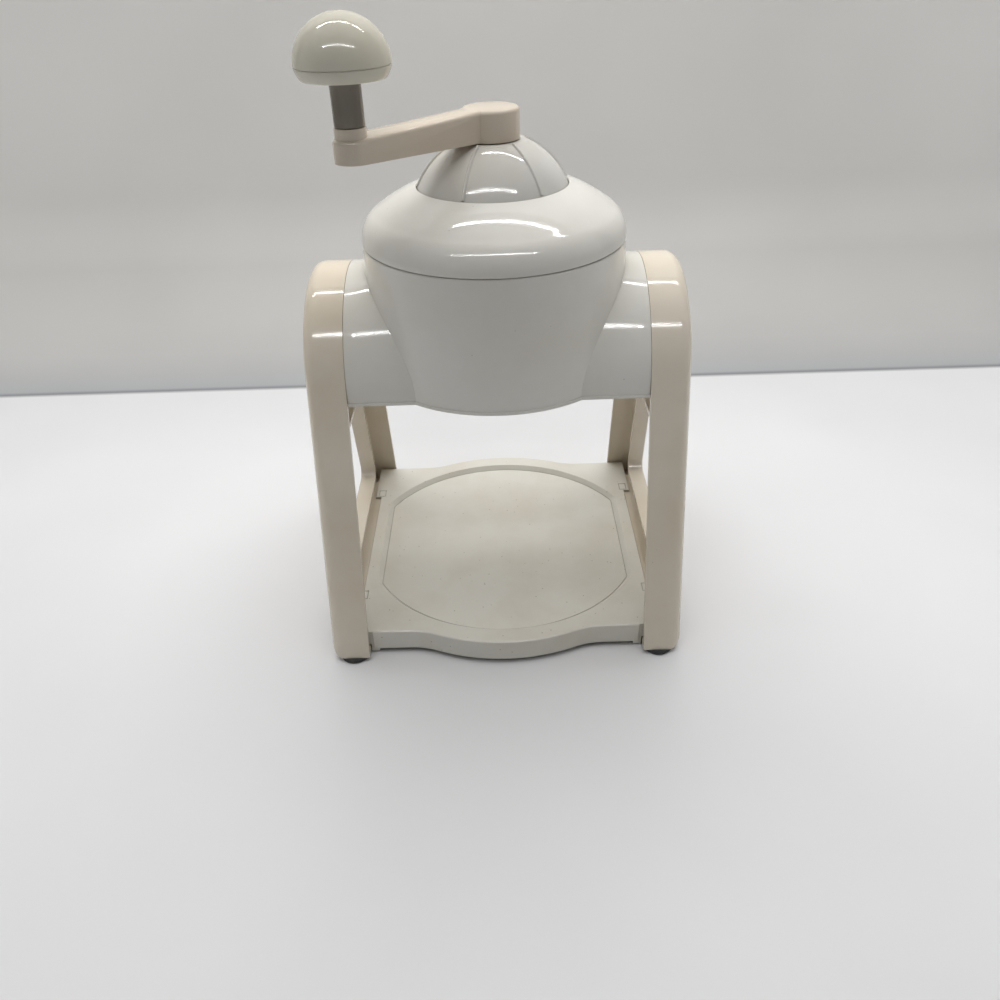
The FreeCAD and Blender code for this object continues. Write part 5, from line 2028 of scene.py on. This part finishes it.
@dataclass
class Studio:
    """A pale table that turns up into a pale wall, soft lamps, and the camera.  Its lengths are metres.

    Attributes:
        lens: focal length in millimetres.
        sensor: the sensor's width in millimetres.
        nearest: the least distance that the camera sees.
        eye: where the camera stands.
        pitch: how far it looks down, in degrees.
        yaw: how far it looks to the right.
        roll: how far it leans.
        half_sweep: half the width of table and wall.
        table_front: Y where the table starts.
        table_back: Y where it starts to turn up.
        bend: radius of the turn.
        wall_top: height of the wall.
        tones: the sweep's colour at places along Y, from the front floor over the laminate and the dark joint
            at its end to the cloth, which gets lighter up to the wall.
        fold_shade_mm: size of the painted shade of the cloth's soft folds.
        room_glow: colour and strength of the light that comes from everywhere.
        room_colour: the colour that the room is seen in.
    """

    lens: float = 30.94
    sensor: float = 36.0
    nearest: float = 0.01
    eye: Place = (0.00141, -0.44837, 0.3472)
    pitch: float = 34.07
    yaw: float = -0.37
    roll: float = -1.90
    half_sweep: float = 2.0
    table_front: float = -1.2
    table_back: float = 0.34
    bend: float = 0.12
    wall_top: float = 2.2
    tones: tuple[tuple[float, str], ...] = (
        (-0.90, "#B2B3B5"), (-0.45, "#DBDBDC"), (0.254, "#DBDBDC"), (0.257, "#66686B"), (0.261, "#A4A6A8"),
        (0.30, "#AFAFAE"), (0.44, "#CCCAC7"), (0.46, "#E3E1DE"))
    fold_shade_mm: float = 200.0
    room_glow: tuple[str, float] = ("#EDEEF0", 0.04)
    room_colour: str = "#BDBDBC"

    def camera(self) -> None:
        """Stand the camera where the view is taken from."""
        pitch, yaw, roll = (math.radians(turn) for turn in (self.pitch, self.yaw, self.roll))
        ahead = Vector((math.sin(yaw) * math.cos(pitch), math.cos(yaw) * math.cos(pitch), -math.sin(pitch)))
        level = Vector((math.cos(yaw), -math.sin(yaw), 0.0))
        upward = level.cross(ahead)
        right = math.cos(roll) * level + math.sin(roll) * upward
        upright = -math.sin(roll) * level + math.cos(roll) * upward
        place = Matrix((right, upright, -ahead)).transposed().to_4x4()
        place.translation = Vector(self.eye)
        data = bpy.data.cameras.new("camera")
        data.lens, data.sensor_width, data.clip_start = self.lens, self.sensor, self.nearest
        item = bpy.data.objects.new("camera", data)
        bpy.context.scene.collection.objects.link(item)
        item.matrix_world = place
        bpy.context.scene.camera = item

    def sweep(self) -> None:
        """The table, the cloth behind it and the floor in front of it as one sweep."""
        turn = arc((self.table_back, self.bend), self.bend, -90.0, 0.0, 10)[1:]
        path = [(self.table_front, 0.0), (self.table_back, 0.0), *turn,
                (self.table_back + self.bend, self.wall_top)]
        form = bmesh.new()
        line = [form.verts.new((-self.half_sweep, y, z)) for y, z in path]
        edges = [form.edges.new(pair) for pair in zip(line, line[1:])]
        grown = bmesh.ops.extrude_edge_only(form, edges=edges)["geom"]
        bmesh.ops.translate(form, vec=(2 * self.half_sweep, 0.0, 0.0), verts=corners_of(grown))
        bmesh.ops.recalc_face_normals(form, faces=form.faces)
        for face in form.faces:
            face.smooth = True
        item = bpy.data.objects.new("sweep", mesh_of(form, "sweep"))
        bpy.context.scene.collection.objects.link(item)
        item.data.materials.append(self.sweep_material())

    def sweep_material(self) -> bpy.types.Material:
        """Pale laminate that ends in a thin dark joint, grey cloth behind it and a darker floor in front.

        Both are matt, so that they take soft shadows and mirror nothing, and a painted shade of soft folds makes
        the cloth faintly uneven.

        Returns:
            The material.
        """
        material, tree = fresh_material("pale_laminate_and_grey_cloth")
        spot = add_node(tree, "ShaderNodeTexCoord").outputs["Object"]
        parts = add_node(tree, "ShaderNodeSeparateXYZ", links={"Vector": spot})
        near, far = self.tones[0][0], self.tones[-1][0]
        place = add_node(tree, "ShaderNodeMapRange", {"From Min": near, "From Max": far},
                         {"Value": parts.outputs["Y"]})
        ramp = add_node(tree, "ShaderNodeValToRGB", links={"Fac": place.outputs[0]})
        stops = ramp.color_ramp.elements
        for _ in self.tones[2:]:
            stops.new(0.5)
        for stop, (y, colour) in zip(stops, self.tones):
            stop.position, stop.color = (y - near) / (far - near), linear(colour)
        # Painted shade of the cloth's soft folds: noise scales the colour a little up and down.
        fold_shade = add_node(tree, "ShaderNodeTexNoise", {"Scale": per_metre(self.fold_shade_mm), "Detail": 2.0},
                        {"Vector": spot})
        shade = add_node(tree, "ShaderNodeMapRange",
                         {"From Min": 0.3, "From Max": 0.7, "To Min": 0.97, "To Max": 1.03},
                         {"Value": fold_shade.outputs[0]})
        cloth = add_node(tree, "ShaderNodeMix", {"data_type": "RGBA", "blend_type": "MULTIPLY", 0: 1.0},
                         {6: ramp.outputs[0], 7: shade.outputs[0]})
        shader = add_node(tree, "ShaderNodeBsdfPrincipled", {"Roughness": 0.55},
                          {"Base Color": cloth.outputs[2]})
        finish_with(tree, shader)
        return material

    def room(self) -> bpy.types.World:
        """A faint even light that the camera, metal and glass see as a pale grey room.

        Returns:
            The world.
        """
        world = bpy.data.worlds.new("room")
        world.use_nodes = True
        tree = world.node_tree
        tree.nodes.clear()
        path = add_node(tree, "ShaderNodeLightPath")
        mirrored = add_node(tree, "ShaderNodeMath", {"operation": "MAXIMUM"},
                            {0: path.outputs["Is Glossy Ray"], 1: path.outputs["Is Transmission Ray"]})
        seen = add_node(tree, "ShaderNodeMath", {"operation": "MAXIMUM"},
                        {0: path.outputs["Is Camera Ray"], 1: mirrored.outputs[0]})
        faint = add_node(tree, "ShaderNodeBackground",
                         {"Color": linear(self.room_glow[0]), "Strength": self.room_glow[1]})
        pale = add_node(tree, "ShaderNodeBackground", {"Color": linear(self.room_colour)})
        mixed = add_node(tree, "ShaderNodeMixShader",
                         links={0: seen.outputs[0], 1: faint.outputs[0], 2: pale.outputs[0]})
        add_node(tree, "ShaderNodeOutputWorld", links={"Surface": mixed.outputs[0]})
        return world

    def build(self) -> None:
        """Set the light, the backdrop and the camera."""
        bpy.context.scene.world = self.room()
        bpy.context.scene.view_settings.view_transform = "Standard"
        for lamp in LAMPS:
            lamp.hang()
        self.sweep()
        self.camera()


# What the CAD's own solids are made of, where they stay in view.
KEPT_NODES: dict[str, Finish] = {
    "ice_hopper": LINER_PP, "blade_plate": LINER_PP, "blade": GROUND_STEEL, "blade_screws": ZINC_STEEL,
    "plate_screws": ZINC_STEEL, "lid_plate": LINER_PP, "lid_plate_screws": ZINC_STEEL, "feed_nut": ACETAL,
    "spindle_bush": ACETAL, "drive_spindle": TURNED_STEEL, "spindle_clip": TURNED_STEEL,
    "knob_pin": TURNED_STEEL, "knob_washer": ZINC_STEEL, "feed_screw": TURNED_STEEL,
    "presser_disc": LINER_PP, "presser_spikes": ZINC_STEEL, "presser_screw": ZINC_STEEL,
}


def main() -> None:
    """Build every sub-assembly in order, dress what the CAD keeps, and set the studio."""
    logging.basicConfig(level=logging.INFO, format="%(message)s")
    bench = Bench()
    frames, crank = SideFrames(), Crank()
    frames.build(bench)
    Feet().build(bench)
    SideScrews().build(bench, frames)
    Tray().build(bench)
    Housing().build(bench)
    Lid().build(bench)
    crank.build(bench)
    Knob(crank.knob_spot()).build(bench)
    for node, finish in KEPT_NODES.items():
        bench.dress(node, finish)
    Studio().build()


if __name__ == "__main__":
    main()
